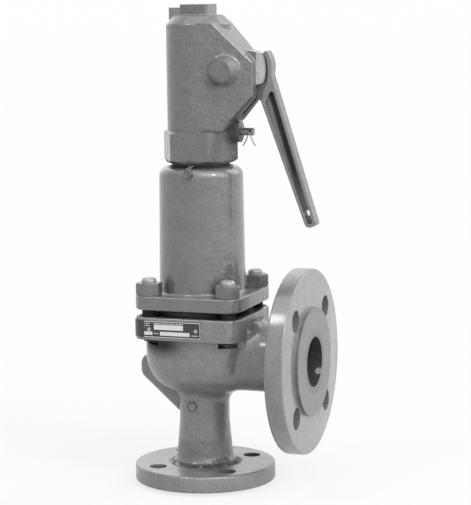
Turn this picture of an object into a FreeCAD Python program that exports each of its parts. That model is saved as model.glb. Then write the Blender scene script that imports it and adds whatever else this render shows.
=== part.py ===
import FreeCAD, Part
import math
import os
from FreeCAD import Vector

# Spring-loaded angle safety relief valve, all sizes in millimetres and degrees.
# The origin is the centre of the inlet's raised face. +Z runs up the spindle
# and +X points out of the side outlet.

# Inlet flange and neck of the body
inlet_bore = 25.0
inlet_flange_dia = 115.0
inlet_flange_thick = 16.0
inlet_face_dia = 68.0
inlet_face_raise = 2.5
inlet_bolt_circle = 85.0
inlet_bolt_hole = 14.0
inlet_bolt_count = 4
neck_foot_dia = 47.0
neck_waist_dia = 41.0
neck_waist_height = 52.0
neck_foot_round = 9.0
neck_blend = 12.0

# Outlet flange and branch of the body
outlet_bore = 40.0
outlet_throat_dia = 48.0
outlet_throat_end = 36.0
outlet_taper_end = 58.0
outlet_throat_round = 10.0
outlet_flange_dia = 150.0
outlet_flange_thick = 18.0
outlet_face_dia = 88.0
outlet_face_raise = 3.0
outlet_bolt_circle = 110.0
outlet_bolt_hole = 18.0
outlet_bolt_count = 4
outlet_below_square = 19.5
outlet_reach = 95.0
branch_dia = 53.0
branch_blend = 18.0
branch_hub_round = 6.0
flange_edge_round = 1.5

# Bowl of the body, oval in plan
bowl_back = 47.5
bowl_front = 50.0
bowl_width = 82.0
bowl_drop = 28.5
bowl_bottom_round = 30.0
bowl_wall = 7.0
bowl_into_square = 12.0
square_blend = 6.0
gusset_thick = 10.0
gusset_reach = 54.5
gusset_drop = 34.0
gusset_top_round = 14.0
gusset_heel_round = 9.0
gusset_root_round = 12.0
gusset_edge_round = 3.0
foundry_pad_dia = 9.0
foundry_pad_raise = 0.8
foundry_pad_height = 65.0
foundry_pad_turn = -9.0

# Square bonnet joint with its four studs
body_height = 141.5
body_square = 90.0
body_square_thick = 18.0
bonnet_square = 90.0
bonnet_square_thick = 11.2
square_corner = 12.5
square_edge_round = 1.2
joint_gap = 5.8
stud_pitch = 67.4
stud_dia = 12.0
stud_hole_dia = 13.4
stud_tail = 2.6
stud_tip = 3.8
stud_tail_chamfer = 1.4
stud_tip_round = 2.6
stud_tip_dome = 0.6
nut_across_flats = 19.0
nut_height = 10.0
nut_chamfer = 1.1
nut_first_turn = 8.0
nut_turn_step = 13.0
spot_face_dia = 17.0

# Bonnet
bonnet_foot_dia = 70.4
bonnet_head_dia = 68.0
bonnet_over_spring = 41.2
bonnet_shoulder_round = 7.5
bonnet_foot_round = 2.5
bonnet_bore = 57.0
bonnet_roof = 10.5
bonnet_roof_round = 4.0
bonnet_neck_dia = 42.0
bonnet_neck_height = 33.5
collar_dia = 47.0
collar_height = 2.0
thin_gasket = 1.0
cap_gasket_thick = 1.5

# Cap with its lever housing
cap_across_flats = 55.0
cap_hex_height = 26.0
cap_hex_chamfer = 4.5
cap_dia = 53.2
cap_over_fulcrum = 43.8
cap_shoulder_rise = 7.2
cap_shoulder_inset = 7.0
cap_edge_round = 2.5
cap_top_round = 4.0
cap_bore = 41.0
cap_wall = 6.0
cap_ceiling_round = 8.0
housing_reach = 50.0
housing_end_half = 13.6
housing_top_rise = 3.0
housing_roof_start = 18.5
housing_end_rise = 7.0
housing_end_drop = 20.5
housing_heel_reach = 34.0
housing_heel_height = 35.5
housing_tail_height = 25.0
housing_cavity_half = 11.5
housing_end_round = 4.0
housing_roof_round = 6.0
housing_edge_round = 3.0
housing_slot_setback = 2.0
nose_half = 8.0
nose_radius = 30.8
nose_rise = 14.0
nose_drop = 9.0
nose_corner_round = 6.0
nose_taper_top = 1.0
nose_taper_low = 5.0
nose_root_depth = 4.0
nose_blend = 1.5
stub_height = 8.5
stub_length = 23.0
stub_width = 26.0
stub_nose_reach = 25.2
stub_nose_drop = 2.6
stub_corner_round = 3.0
stub_back_round = 1.0
stub_nose_half = 2.0
stub_blend = 1.0

# Lever, lifting fork and the pin that they turn on
fulcrum_reach = 27.0
fulcrum_height = 74.0
pin_dia = 10.0
pin_boss_face_dia = 17.6
pin_boss_root_dia = 28.0
pin_boss_reach = 28.0
pin_boss_root_reach = 16.0
pin_boss_wall = 5.0
pin_boss_blend = 3.0
pin_plug_dia = 14.0
pin_plug_length = 9.0
pin_plug_key = 6.0
lever_web = 4.0
lever_width = 10.0
lever_rim = 2.6
lever_elbow_rim = 3.6
lever_elbow_gap = 1.4
lever_elbow_top_angle = 26.0
lever_elbow_low_angle = -6.0
lever_elbow_heel_angle = -30.0
lever_arm_tilt = 18.5
lever_arm_top_width = 15.4
lever_arm_end_width = 9.5
lever_arm_length = 115.5
lever_arm_start_reach = 31.0
lever_arm_start_drop = 15.0
lever_hole_dia = 4.6
lever_hole_setback = 11.6
lever_web_half_height = 8.0
lever_web_round = 5.0
lever_web_low_angle = -62.0
lever_rim_start = 8.0
lever_pocket_round = 2.0
lever_knee_round = 20.0
lever_heel_round = 1.5
lever_end_round = 2.5
lever_end_back_round = 4.0
lever_edge_round = 0.8
slot_side_gap = 0.8
fork_half = 10.0
fork_thick = 4.0
fork_finger_height = 6.0
fork_pad_radius = 5.0
fork_hub_radius = 7.5
fork_bar_near = 9.5
fork_bar_far = 15.0
fork_rivet_dia = 4.0
fork_rivet_reach = 19.0
fork_bar_round = 2.0
fork_shoulder_round = 3.0
fork_waist_round = 5.0

# Trim inside the body
seat_bore = 20.0
seat_shank_dia = 32.0
seat_shank_length = 17.0
seat_flange_dia = 38.0
seat_flange_thick = 4.0
seat_nose_dia = 27.0
seat_nose_height = 6.0
seat_nose_chamfer = 1.5
disc_skirt_dia = 38.0
disc_skirt_wall = 2.5
disc_skirt_drop = 2.5
disc_thick = 7.0
disc_hub_dia = 21.0
disc_hub_height = 15.0
disc_relief = 2.0
disc_relief_lead = 1.5
disc_shoulder_round = 3.0
disc_rim_round = 0.6
ball_dia = 10.0
retaining_ring_thick = 1.2
retaining_ring_depth = 1.5
retaining_ring_setback = 3.6
retaining_ring_gap_angle = 40.0
spindle_dia = 12.0
spindle_upper_dia = 10.0
spindle_collar_dia = 19.0
spindle_collar_thick = 4.0
guide_plate_dia = 81.8
guide_plate_thick = 4.5
guide_recess = 3.0
guide_opening_dia = 70.0
guide_hub_dia = 28.0
guide_hub_drop = 13.5
guide_hub_round = 3.0
guide_hub_edge_round = 1.5
guide_vent_dia = 7.0
guide_vent_circle = 50.0
guide_vent_count = 6
bush_dia = 18.0
bush_head_dia = 23.0
bush_head_thick = 2.0
bush_head_round = 0.6
bush_to_collar = 7.0

# Spring, its plates and the setting screw
spring_mean_dia = 40.0
spring_wire_dia = 5.0
spring_length = 72.0
spring_turns = 7.5
spring_plate_dia = 48.0
spring_plate_thick = 7.0
spring_boss_dia = 34.0
spring_boss_height = 4.0
spring_plate_chamfer = 3.0
setting_screw_dia = 22.0
setting_screw_key = 17.0
setting_screw_key_height = 10.0
setting_screw_stand = 3.0
setting_screw_chamfer = 2.0
lock_nut_across_flats = 32.0
lock_nut_height = 9.0
lock_nut_chamfer = 1.6
lift_collar_dia = 28.0
lift_collar_thick = 6.0
lift_collar_chamfer = 2.0
collar_nut_across_flats = 17.0
collar_nut_height = 8.0
spindle_end = 4.0

# Cap locking screw, seal and nameplate
lock_screw_dia = 6.2
lock_screw_height = 24.5
lock_screw_reach = 45.4
lock_screw_boss_dia = 17.0
lock_screw_boss_reach = 34.8
split_pin_wire = 1.4
split_pin_setback = 2.4
split_pin_leg = 12.5
split_pin_spread = 24.0
split_pin_eye = 2.2
seal_wire_dia = 1.0
seal_wire_stand = 0.4
seal_dia = 7.6
seal_thick = 3.0
seal_drop = 3.4
seal_offset = 2.0
seal_wire_pitch = 2.4
seal_wire_tail = 2.0
nameplate_length = 59.2
nameplate_height = 13.4
nameplate_thick = 0.6
nameplate_end = 14.6
nameplate_rivet_dia = 1.6
nameplate_rivet_head_dia = 3.2
nameplate_rivet_head = 0.7
nameplate_rivet_depth = 4.0
nameplate_rivet_inset = 4.0
nameplate_rivet_pitch = 40.0

# Small edges that most turned pieces share
small_edge = 1.0

# Clearances
thread_gap = 0.05
running_gap = 0.05
locating_gap = 0.10
lift_gap = 0.30
full_lift = 5.0
seam_tolerance = 0.01

# Heights and places that follow from the sizes above
body_square_low = body_height - body_square_thick
outlet_height = body_square_low - outlet_below_square
bowl_bottom = outlet_height - bowl_drop
chamber_floor = bowl_bottom + bowl_wall
recess_floor = body_height - guide_recess
guide_low = recess_floor + thin_gasket
guide_top = guide_low + guide_plate_thick
bonnet_low = body_height + joint_gap
spigot_low = guide_top + thin_gasket
bonnet_square_top = bonnet_low + bonnet_square_thick
bonnet_length = spring_length + bonnet_over_spring
bonnet_shoulder = bonnet_low + bonnet_length
bonnet_neck_top = bonnet_shoulder + bonnet_neck_height
collar_top = bonnet_shoulder + collar_height
cap_low = collar_top + cap_gasket_thick
cap_hex_top = cap_low + cap_hex_height
cap_height = fulcrum_height + cap_over_fulcrum
cap_top = cap_low + cap_height
cap_edge = cap_top - cap_shoulder_rise
fulcrum_z = cap_low + fulcrum_height
housing_end_top = fulcrum_height + housing_end_rise
housing_end_low = fulcrum_height - housing_end_drop
nose_top = fulcrum_height + nose_rise
seat_plane = chamber_floor + seat_flange_thick + seat_nose_height
ball_low = seat_plane + disc_thick
spindle_low = ball_low + ball_dia
disc_top = ball_low + disc_hub_height
bush_top = guide_top + bush_head_thick
spindle_collar_low = bush_top + bush_to_collar
lower_plate_low = spindle_collar_low + spindle_collar_thick
spring_low = lower_plate_low + spring_plate_thick
spring_top = spring_low + spring_length
upper_plate_top = spring_top + spring_plate_thick
spindle_step = upper_plate_top - full_lift - spring_boss_height
lock_nut_top = bonnet_neck_top + lock_nut_height
setting_screw_top = lock_nut_top + setting_screw_stand + setting_screw_key_height
fork_pad_top = fulcrum_z + fork_pad_radius - lift_gap
lift_collar_low = fork_pad_top + lift_gap
lift_collar_top = lift_collar_low + lift_collar_thick
collar_nut_top = lift_collar_top + collar_nut_height
spindle_top = collar_nut_top + spindle_end
lock_screw_z = cap_low + lock_screw_height
stud_low = body_square_low - stud_tail
nut_top = bonnet_square_top + nut_height
stud_top = nut_top + stud_tip


def rounded_wire(corners, place):
    """Closed wire through (a, b, radius) corners, each rounded to its radius."""
    count = len(corners)
    bends = []
    for index, (a, b, radius) in enumerate(corners):
        here = Vector(a, b, 0)
        before = corners[index - 1]
        after = corners[(index + 1) % count]
        back = Vector(before[0], before[1], 0) - here
        ahead = Vector(after[0], after[1], 0) - here
        if radius <= 0:
            bends.append((here, None, here))
            continue
        room_back = back.Length if before[2] <= 0 else back.Length / 2
        room_ahead = ahead.Length if after[2] <= 0 else ahead.Length / 2
        half = back.getAngle(ahead) / 2
        reach = min(radius / math.tan(half), room_back, room_ahead)
        fitted = reach * math.tan(half)
        back.normalize()
        ahead.normalize()
        inward = back + ahead
        inward.normalize()
        middle = here + inward * (fitted / math.sin(half) - fitted)
        bends.append((here + back * reach, middle, here + ahead * reach))
    edges = []
    for index, (start, middle, stop) in enumerate(bends):
        if middle is not None:
            edges.append(Part.Arc(place(start), place(middle), place(stop)).toShape())
        following = bends[(index + 1) % count][0]
        if (following - stop).Length > 1e-6:
            edges.append(Part.LineSegment(place(stop), place(following)).toShape())
    return Part.Wire(edges)


def turned(corners):
    """Solid turned about Z from an outline of (radius, height, rounding) corners."""
    wire = rounded_wire(corners, lambda p: Vector(p.x, 0, p.y))
    return Part.Face(wire).revolve(Vector(0, 0, 0), Vector(0, 0, 1), 360)


def upright(corners, low, high):
    """Solid raised along Z from an (x, y, rounding) outline."""
    wire = rounded_wire(corners, lambda p: Vector(p.x, p.y, low))
    return Part.Face(wire).extrude(Vector(0, 0, high - low))


def crosswise(corners, near, far):
    """Solid run along Y from an (x, z, rounding) outline."""
    wire = rounded_wire(corners, lambda p: Vector(p.x, near, p.y))
    return Part.Face(wire).extrude(Vector(0, far - near, 0))


def rod(dia, start, axis, length):
    """Round bar of one diameter from a start point along an axis."""
    return Part.makeCylinder(dia / 2, length, Vector(*start), Vector(*axis))


def ring(outer_dia, inner_dia, low, high):
    """Flat ring about Z."""
    outer = rod(outer_dia, (0, 0, low), (0, 0, 1), high - low)
    return outer.cut(rod(inner_dia, (0, 0, low), (0, 0, 1), high - low))


def block(x_low, x_high, half_y, z_low, z_high):
    """Box that is symmetric about the valve's middle plane."""
    return Part.makeBox(x_high - x_low, 2 * half_y, z_high - z_low, Vector(x_low, -half_y, z_low))


def hexagon(across_flats, low, high, chamfer):
    """Hexagonal prism about Z with its corners on the X axis, chamfered like a nut."""
    corner = across_flats / math.sqrt(3)
    points = []
    for step in range(6):
        angle = math.radians(60 * step)
        points.append((corner * math.cos(angle), corner * math.sin(angle), 0))
    prism = upright(points, low, high)
    inset = chamfer * math.tan(math.radians(30))
    envelope = turned([
        (0, low, 0),
        (corner - chamfer, low, 0),
        (corner, low + inset, 0),
        (corner, high - inset, 0),
        (corner - chamfer, high, 0),
        (0, high, 0),
    ])
    return prism.common(envelope)


def about_outlet(shape):
    """Turn a solid made about Z so that it lies along the outlet axis."""
    moved = shape.copy()
    moved.rotate(Vector(0, 0, 0), Vector(0, 1, 0), 90)
    moved.translate(Vector(0, 0, outlet_height))
    return moved


def stud_places():
    """The four stud centres of the square joint."""
    half = stud_pitch / 2
    return [(half, half), (-half, half), (-half, -half), (half, -half)]


def square_prism(size, low, high):
    """Square block with rounded corners and sharp rims."""
    half = size / 2
    places = ((half, half), (-half, half), (-half, -half), (half, -half))
    return upright([(x, y, square_corner) for x, y in places], low, high)


def square_plate(size, low, high, rim_heights):
    """Cast square flange with rounded corners, and rims softly rounded at the given heights."""
    plate = square_prism(size, low, high)
    flat = [edge for edge in plate.Edges if edge.BoundBox.ZLength < seam_tolerance]
    rims = [edge for edge in flat if round(edge_middle(edge).z, 2) in [round(z, 2) for z in rim_heights]]
    return plate.makeFillet(square_edge_round, rims)


def bolt_holes(circle_dia, hole_dia, count, low, high):
    """Round pattern of holes about Z that straddles the X and Y axes."""
    holes = []
    for step in range(count):
        angle = math.radians(360 / count * (step + 0.5))
        start = (circle_dia / 2 * math.cos(angle), circle_dia / 2 * math.sin(angle), low)
        holes.append(rod(hole_dia, start, (0, 0, 1), high - low))
    return holes


def edge_middle(edge):
    """Point halfway along an edge."""
    return edge.valueAt((edge.FirstParameter + edge.LastParameter) / 2)


def blended(first, second, radius, chosen=lambda point: True):
    """Two castings run together, with a fillet along the edges where their surfaces meet."""
    whole = first.fuse(second).removeSplitter()
    seams = []
    for edge in whole.Edges:
        middle = edge_middle(edge)
        probe = Part.Vertex(middle)
        on_both = all(probe.distToShape(part.Shells[0])[0] < seam_tolerance for part in (first, second))
        if on_both and chosen(middle):
            seams.append(edge)
    return whole.makeFillet(radius, seams)


def long_bowl():
    """Outside of the bowl: two round ends and a straight middle, with a well-rounded bottom."""
    radius = bowl_width / 2
    back = radius - bowl_back
    front = bowl_front - radius
    high = body_square_low + bowl_into_square
    pieces = []
    for side in (back, front):
        end = turned([
            (0, bowl_bottom, 0),
            (radius, bowl_bottom, bowl_bottom_round),
            (radius, high, 0),
            (0, high, 0),
        ])
        end.translate(Vector(side, 0, 0))
        pieces.append(end)
    section = rounded_wire([
        (-radius, high, 0),
        (radius, high, 0),
        (radius, bowl_bottom, bowl_bottom_round),
        (-radius, bowl_bottom, bowl_bottom_round),
    ], lambda p: Vector(back, p.x, p.y))
    pieces.append(Part.Face(section).extrude(Vector(front - back, 0, 0)))
    return pieces[0].multiFuse(pieces[1:]).removeSplitter()


def make_stem():
    """Inlet flange with its raised face, and the waisted neck above it."""
    face_r = inlet_face_dia / 2
    rim_r = inlet_flange_dia / 2
    waist_r = neck_waist_dia / 2
    top = bowl_bottom + bowl_wall
    return turned([
        (0, 0, 0),
        (face_r, 0, 0),
        (face_r, inlet_face_raise, 0),
        (rim_r, inlet_face_raise, flange_edge_round),
        (rim_r, inlet_flange_thick, flange_edge_round),
        (neck_foot_dia / 2, inlet_flange_thick, neck_foot_round),
        (waist_r, neck_waist_height, 2 * neck_foot_round),
        (waist_r, top, 0),
        (0, top, 0),
    ])


def make_branch():
    """Side branch with the outlet flange and its raised face."""
    back = outlet_reach - outlet_flange_thick
    branch_r = branch_dia / 2
    face_r = outlet_face_dia / 2
    rim_r = outlet_flange_dia / 2
    step = outlet_reach - outlet_face_raise
    return about_outlet(turned([
        (0, 0, 0),
        (branch_r, 0, 0),
        (branch_r, back, branch_hub_round),
        (rim_r, back, flange_edge_round),
        (rim_r, step, flange_edge_round),
        (face_r, step, 0),
        (face_r, outlet_reach, 0),
        (0, outlet_reach, 0),
    ]))


def make_gusset():
    """Rib behind the valve, between the bowl and the neck, with rounded edges."""
    heel = outlet_height - gusset_drop - 2 * bowl_wall
    inner = small_edge - neck_waist_dia / 2
    rib = crosswise([
        (0, outlet_height, 0),
        (-gusset_reach, outlet_height, gusset_top_round),
        (-gusset_reach, outlet_height - gusset_drop / 2, gusset_heel_round),
        (inner, heel, gusset_root_round),
        (0, heel, 0),
    ], -gusset_thick / 2, gusset_thick / 2)
    flat = [edge for edge in rib.Edges if edge.BoundBox.YLength < seam_tolerance]
    rims = [edge for edge in flat if edge_middle(edge).x < inner]
    return rib.makeFillet(gusset_edge_round, rims)


def body_outside():
    """The body casting before it is bored: bowl, branch, square, neck and gusset run together."""
    square_low = body_square_low
    casting = blended(long_bowl(), make_branch(), branch_blend)
    square = square_plate(body_square, square_low, body_height, [body_height])
    casting = blended(casting, square, square_blend, lambda p: p.z < square_low + small_edge)
    casting = blended(casting, make_stem(), neck_blend)
    pad = rod(foundry_pad_dia, (0, 0, foundry_pad_height), (0, -1, 0), neck_waist_dia / 2 + foundry_pad_raise)
    pad.rotate(Vector(0, 0, 0), Vector(0, 0, 1), foundry_pad_turn)
    return casting.multiFuse([make_gusset(), pad])


def body_inside():
    """Everything cut out of the body casting."""
    chamber_r = bowl_width / 2 - bowl_wall
    chamber_top = body_square_low + bowl_wall / 2
    chamber = turned([
        (0, chamber_floor, 0),
        (chamber_r, chamber_floor, bowl_bottom_round - bowl_wall),
        (chamber_r, chamber_top, bowl_wall),
        (0, chamber_top, 0),
    ])
    top = rod(guide_opening_dia, (0, 0, outlet_height), (0, 0, 1), body_height - outlet_height)
    recess = rod(guide_plate_dia + 2 * locating_gap, (0, 0, recess_floor), (0, 0, 1), guide_recess)
    inlet = rod(inlet_bore, (0, 0, 0), (0, 0, 1), chamber_floor)
    pocket_low = chamber_floor - seat_shank_length
    pocket = rod(seat_shank_dia + 2 * thread_gap, (0, 0, pocket_low), (0, 0, 1), seat_shank_length)
    seat_height = seat_plane - chamber_floor
    seat_room = rod(seat_flange_dia + 2 * running_gap, (0, 0, chamber_floor), (0, 0, 1), seat_height)
    throat_r = outlet_throat_dia / 2
    outlet_r = outlet_bore / 2
    outlet = about_outlet(turned([
        (0, 0, 0),
        (throat_r, 0, 0),
        (throat_r, outlet_throat_end, outlet_throat_round),
        (outlet_r, outlet_taper_end, outlet_throat_round),
        (outlet_r, outlet_reach, 0),
        (0, outlet_reach, 0),
    ]))
    cuts = [chamber, top, recess, inlet, pocket, seat_room, outlet]
    cuts += bolt_holes(inlet_bolt_circle, inlet_bolt_hole, inlet_bolt_count, 0, inlet_flange_thick)
    outlet_holes = bolt_holes(
        outlet_bolt_circle,
        outlet_bolt_hole,
        outlet_bolt_count,
        outlet_reach - outlet_flange_thick,
        outlet_reach,
    )
    cuts += [about_outlet(hole) for hole in outlet_holes]
    for x, y in stud_places():
        cuts.append(rod(stud_dia + 2 * thread_gap, (x, y, body_square_low), (0, 0, 1), body_square_thick))
        spot_depth = stud_tail + bowl_wall / 2
        cuts.append(rod(spot_face_dia, (x, y, body_square_low - spot_depth), (0, 0, 1), spot_depth))
    return cuts + nameplate_rivet_holes()


def make_body():
    """Cast body: solid outside, then the flow path and holes."""
    return body_outside().cut(body_inside())


def make_seat():
    """Seat ring screwed into the top of the neck, with a raised nose."""
    bore_r = seat_bore / 2
    entry_r = inlet_bore / 2
    shank_r = seat_shank_dia / 2
    flange_r = seat_flange_dia / 2
    nose_r = seat_nose_dia / 2
    low = chamber_floor - seat_shank_length
    flange_top = chamber_floor + seat_flange_thick
    return turned([
        (entry_r, low, 0),
        (shank_r, low, small_edge),
        (shank_r, chamber_floor, 0),
        (flange_r, chamber_floor, 0),
        (flange_r, flange_top, small_edge),
        (nose_r, flange_top, small_edge),
        (nose_r, seat_plane - seat_nose_chamfer, 0),
        (nose_r - seat_nose_chamfer, seat_plane, 0),
        (bore_r, seat_plane, 0),
        (bore_r, chamber_floor, 0),
    ])


def make_disc():
    """Disc with a skirt that helps it lift, and a hub for the ball and spindle."""
    skirt_r = disc_skirt_dia / 2
    hub_r = disc_hub_dia / 2
    nose_r = seat_nose_dia / 2
    socket_r = spindle_dia / 2 + locating_gap
    rim_low = seat_plane - disc_skirt_drop
    relief = seat_plane + disc_relief
    disc = turned([
        (0, seat_plane, 0),
        (nose_r, seat_plane, 0),
        (nose_r + disc_relief_lead, relief, small_edge),
        (skirt_r - disc_skirt_wall, relief, disc_relief_lead),
        (skirt_r - disc_skirt_wall, rim_low, 0),
        (skirt_r, rim_low, disc_rim_round),
        (skirt_r, ball_low - small_edge, disc_shoulder_round),
        (hub_r, ball_low + small_edge, disc_relief),
        (hub_r, disc_top, small_edge),
        (0, disc_top, 0),
    ])
    socket = rod(2 * socket_r, (0, 0, ball_low), (0, 0, 1), disc_hub_height)
    groove_dia = 2 * (socket_r + retaining_ring_depth + locating_gap)
    groove = ring(groove_dia, spindle_dia, ring_low(), ring_high())
    return disc.cut([socket, groove])


def ring_low():
    """Underside of the retaining ring's groove in the disc hub and the spindle."""
    return disc_top - retaining_ring_setback


def ring_high():
    """Top of the retaining ring's groove."""
    return ring_low() + retaining_ring_thick


def make_retaining_ring():
    """Open spring ring that holds the disc on the spindle."""
    middle = spindle_dia / 2 + locating_gap
    outer = 2 * (middle + retaining_ring_depth)
    inner = 2 * (middle - retaining_ring_depth)
    hoop = ring(outer, inner, ring_low(), ring_high())
    half = math.radians(retaining_ring_gap_angle / 2)
    far_x = outer * math.cos(half)
    far_y = outer * math.sin(half)
    gap = upright([(0, 0, 0), (far_x, -far_y, 0), (far_x, far_y, 0)], ring_low(), ring_high())
    return hoop.cut(gap)


def make_ball():
    """Ball that carries the spring's load from the spindle to the disc's centre."""
    return Part.makeSphere(ball_dia / 2, Vector(0, 0, ball_low + ball_dia / 2))


def make_spindle():
    """Spindle with a collar for the lower spring plate and a thinner upper part."""
    main_r = spindle_dia / 2
    upper_r = spindle_upper_dia / 2
    collar_r = spindle_collar_dia / 2
    stem = turned([
        (0, spindle_low, 0),
        (main_r - small_edge, spindle_low, 0),
        (main_r, spindle_low + small_edge, 0),
        (main_r, spindle_collar_low, 0),
        (collar_r, spindle_collar_low, small_edge),
        (collar_r, lower_plate_low, 0),
        (main_r, lower_plate_low, 0),
        (main_r, spindle_step, 0),
        (upper_r, spindle_step + main_r - upper_r, 0),
        (upper_r, spindle_top - small_edge, 0),
        (upper_r - small_edge, spindle_top, 0),
        (0, spindle_top, 0),
    ])
    groove_r = main_r - retaining_ring_depth
    groove = ring(spindle_dia + small_edge, 2 * groove_r, ring_low(), ring_high())
    return stem.cut(groove)


def make_guide_plate():
    """Guide plate clamped in the bonnet joint, with a hub and vent holes."""
    plate = turned([
        (0, guide_low - guide_hub_drop, 0),
        (guide_hub_dia / 2, guide_low - guide_hub_drop, guide_hub_edge_round),
        (guide_hub_dia / 2, guide_low, guide_hub_round),
        (guide_plate_dia / 2, guide_low, 0),
        (guide_plate_dia / 2, guide_top, 0),
        (0, guide_top, 0),
    ])
    cuts = bolt_holes(guide_vent_circle, guide_vent_dia, guide_vent_count, guide_low, guide_top)
    hub_low = guide_low - guide_hub_drop
    cuts.append(rod(bush_dia, (0, 0, hub_low), (0, 0, 1), guide_top - hub_low))
    return plate.cut(cuts)


def make_guide_bush():
    """Headed bush pressed into the guide plate, in which the spindle slides."""
    bore_r = spindle_dia / 2 + running_gap
    return turned([
        (bore_r, guide_low - guide_hub_drop, 0),
        (bush_dia / 2, guide_low - guide_hub_drop, 0),
        (bush_dia / 2, guide_top, 0),
        (bush_head_dia / 2, guide_top, 0),
        (bush_head_dia / 2, bush_top, bush_head_round),
        (bore_r, bush_top, 0),
    ])


def make_body_gasket():
    """Flat gasket under the guide plate."""
    return ring(guide_plate_dia, guide_opening_dia, recess_floor, guide_low)


def make_bonnet_gasket():
    """Flat gasket between the guide plate and the bonnet's spigot."""
    return ring(guide_plate_dia, guide_opening_dia, guide_top, spigot_low)


def make_bonnet():
    """Spring housing with a square foot flange, round shoulder and threaded neck."""
    foot_r = bonnet_foot_dia / 2
    head_r = bonnet_head_dia / 2
    shell = turned([
        (0, spigot_low, 0),
        (guide_plate_dia / 2, spigot_low, 0),
        (guide_plate_dia / 2, bonnet_square_top, 0),
        (foot_r, bonnet_square_top, bonnet_foot_round),
        (head_r, bonnet_shoulder, bonnet_shoulder_round),
        (collar_dia / 2, bonnet_shoulder, 0),
        (collar_dia / 2, collar_top, 0),
        (bonnet_neck_dia / 2, collar_top, 0),
        (bonnet_neck_dia / 2, bonnet_neck_top, small_edge),
        (0, bonnet_neck_top, 0),
    ])
    square = square_plate(bonnet_square, bonnet_low, bonnet_square_top, [bonnet_low, bonnet_square_top])
    roof = bonnet_shoulder - bonnet_roof
    cavity = turned([
        (0, spigot_low, 0),
        (bonnet_bore / 2, spigot_low, 0),
        (bonnet_bore / 2, roof, bonnet_roof_round),
        (0, roof, 0),
    ])
    thread = rod(setting_screw_dia + 2 * thread_gap, (0, 0, roof), (0, 0, 1), bonnet_neck_top - roof)
    cuts = [cavity, thread]
    for x, y in stud_places():
        cuts.append(rod(stud_hole_dia, (x, y, bonnet_low), (0, 0, 1), bonnet_square_thick))
    return shell.fuse(square).cut(cuts)


def make_studs():
    """Four studs with chamfered tails and domed tips."""
    radius = stud_dia / 2
    pieces = []
    for x, y in stud_places():
        stud = turned([
            (0, stud_low, 0),
            (radius - stud_tail_chamfer, stud_low, 0),
            (radius, stud_low + stud_tail_chamfer, 0),
            (radius, stud_top, stud_tip_round),
            (0, stud_top + stud_tip_dome, 0),
        ])
        stud.translate(Vector(x, y, 0))
        pieces.append(stud)
    return Part.makeCompound(pieces)


def make_nuts():
    """Four hexagon nuts on the bonnet's square flange."""
    pieces = []
    for index, (x, y) in enumerate(stud_places()):
        nut = hexagon(nut_across_flats, bonnet_square_top, nut_top, nut_chamfer)
        nut = nut.cut(rod(stud_dia + 2 * thread_gap, (0, 0, bonnet_square_top), (0, 0, 1), nut_height))
        nut.rotate(Vector(0, 0, 0), Vector(0, 0, 1), nut_first_turn + nut_turn_step * index)
        nut.translate(Vector(x, y, 0))
        pieces.append(nut)
    return Part.makeCompound(pieces)


def spring_plate(low, boss_up):
    """Round plate with a boss that centres one end of the spring."""
    bore_r = spindle_dia / 2 + locating_gap
    plate_r = spring_plate_dia / 2
    boss_r = spring_boss_dia / 2
    high = low + spring_plate_thick
    if boss_up:
        return turned([
            (bore_r, low, 0),
            (plate_r - spring_plate_chamfer, low, 0),
            (plate_r, low + spring_plate_chamfer, 0),
            (plate_r, high, 0),
            (boss_r, high, 0),
            (boss_r, high + spring_boss_height, small_edge),
            (bore_r, high + spring_boss_height, 0),
        ])
    return turned([
        (bore_r, low - spring_boss_height, 0),
        (boss_r, low - spring_boss_height, small_edge),
        (boss_r, low, 0),
        (plate_r, low, 0),
        (plate_r, high - spring_plate_chamfer, 0),
        (plate_r - spring_plate_chamfer, high, 0),
        (bore_r, high, 0),
    ])


def make_spring():
    """Compression spring with ends ground flat."""
    wire_r = spring_wire_dia / 2
    mean_r = spring_mean_dia / 2
    pitch = spring_length / spring_turns
    helix = Part.makeHelix(pitch, spring_length, mean_r)
    helix.translate(Vector(0, 0, spring_low))
    circle = Part.Circle(Vector(mean_r, 0, spring_low), Vector(0, 1, 0), wire_r).toShape()
    coil = Part.Wire(helix.Edges).makePipeShell([Part.Wire([circle])], True, True)
    slab = rod(spring_mean_dia + 2 * spring_wire_dia, (0, 0, spring_low), (0, 0, 1), spring_length)
    return coil.common(slab)


def make_setting_screw():
    """Hollow screw that loads the spring, with a hexagon for a spanner."""
    radius = setting_screw_dia / 2
    bore = spindle_upper_dia + 2 * running_gap
    key_low = setting_screw_top - setting_screw_key_height
    shank = turned([
        (0, upper_plate_top, 0),
        (radius - setting_screw_chamfer, upper_plate_top, 0),
        (radius, upper_plate_top + setting_screw_chamfer, 0),
        (radius, key_low, small_edge),
        (0, key_low, 0),
    ])
    key = hexagon(setting_screw_key, key_low - small_edge, setting_screw_top, small_edge)
    through = rod(bore, (0, 0, upper_plate_top), (0, 0, 1), setting_screw_top - upper_plate_top)
    return shank.fuse(key).cut(through)


def make_lock_nut():
    """Nut that locks the setting screw on top of the bonnet's neck."""
    nut = hexagon(lock_nut_across_flats, bonnet_neck_top, lock_nut_top, lock_nut_chamfer)
    thread_dia = setting_screw_dia + 2 * thread_gap
    return nut.cut(rod(thread_dia, (0, 0, bonnet_neck_top), (0, 0, 1), lock_nut_height))


def make_cap_gasket():
    """Flat gasket between the bonnet's collar and the cap."""
    return ring(collar_dia, bonnet_neck_dia + 2 * locating_gap, collar_top, cap_low)


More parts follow.
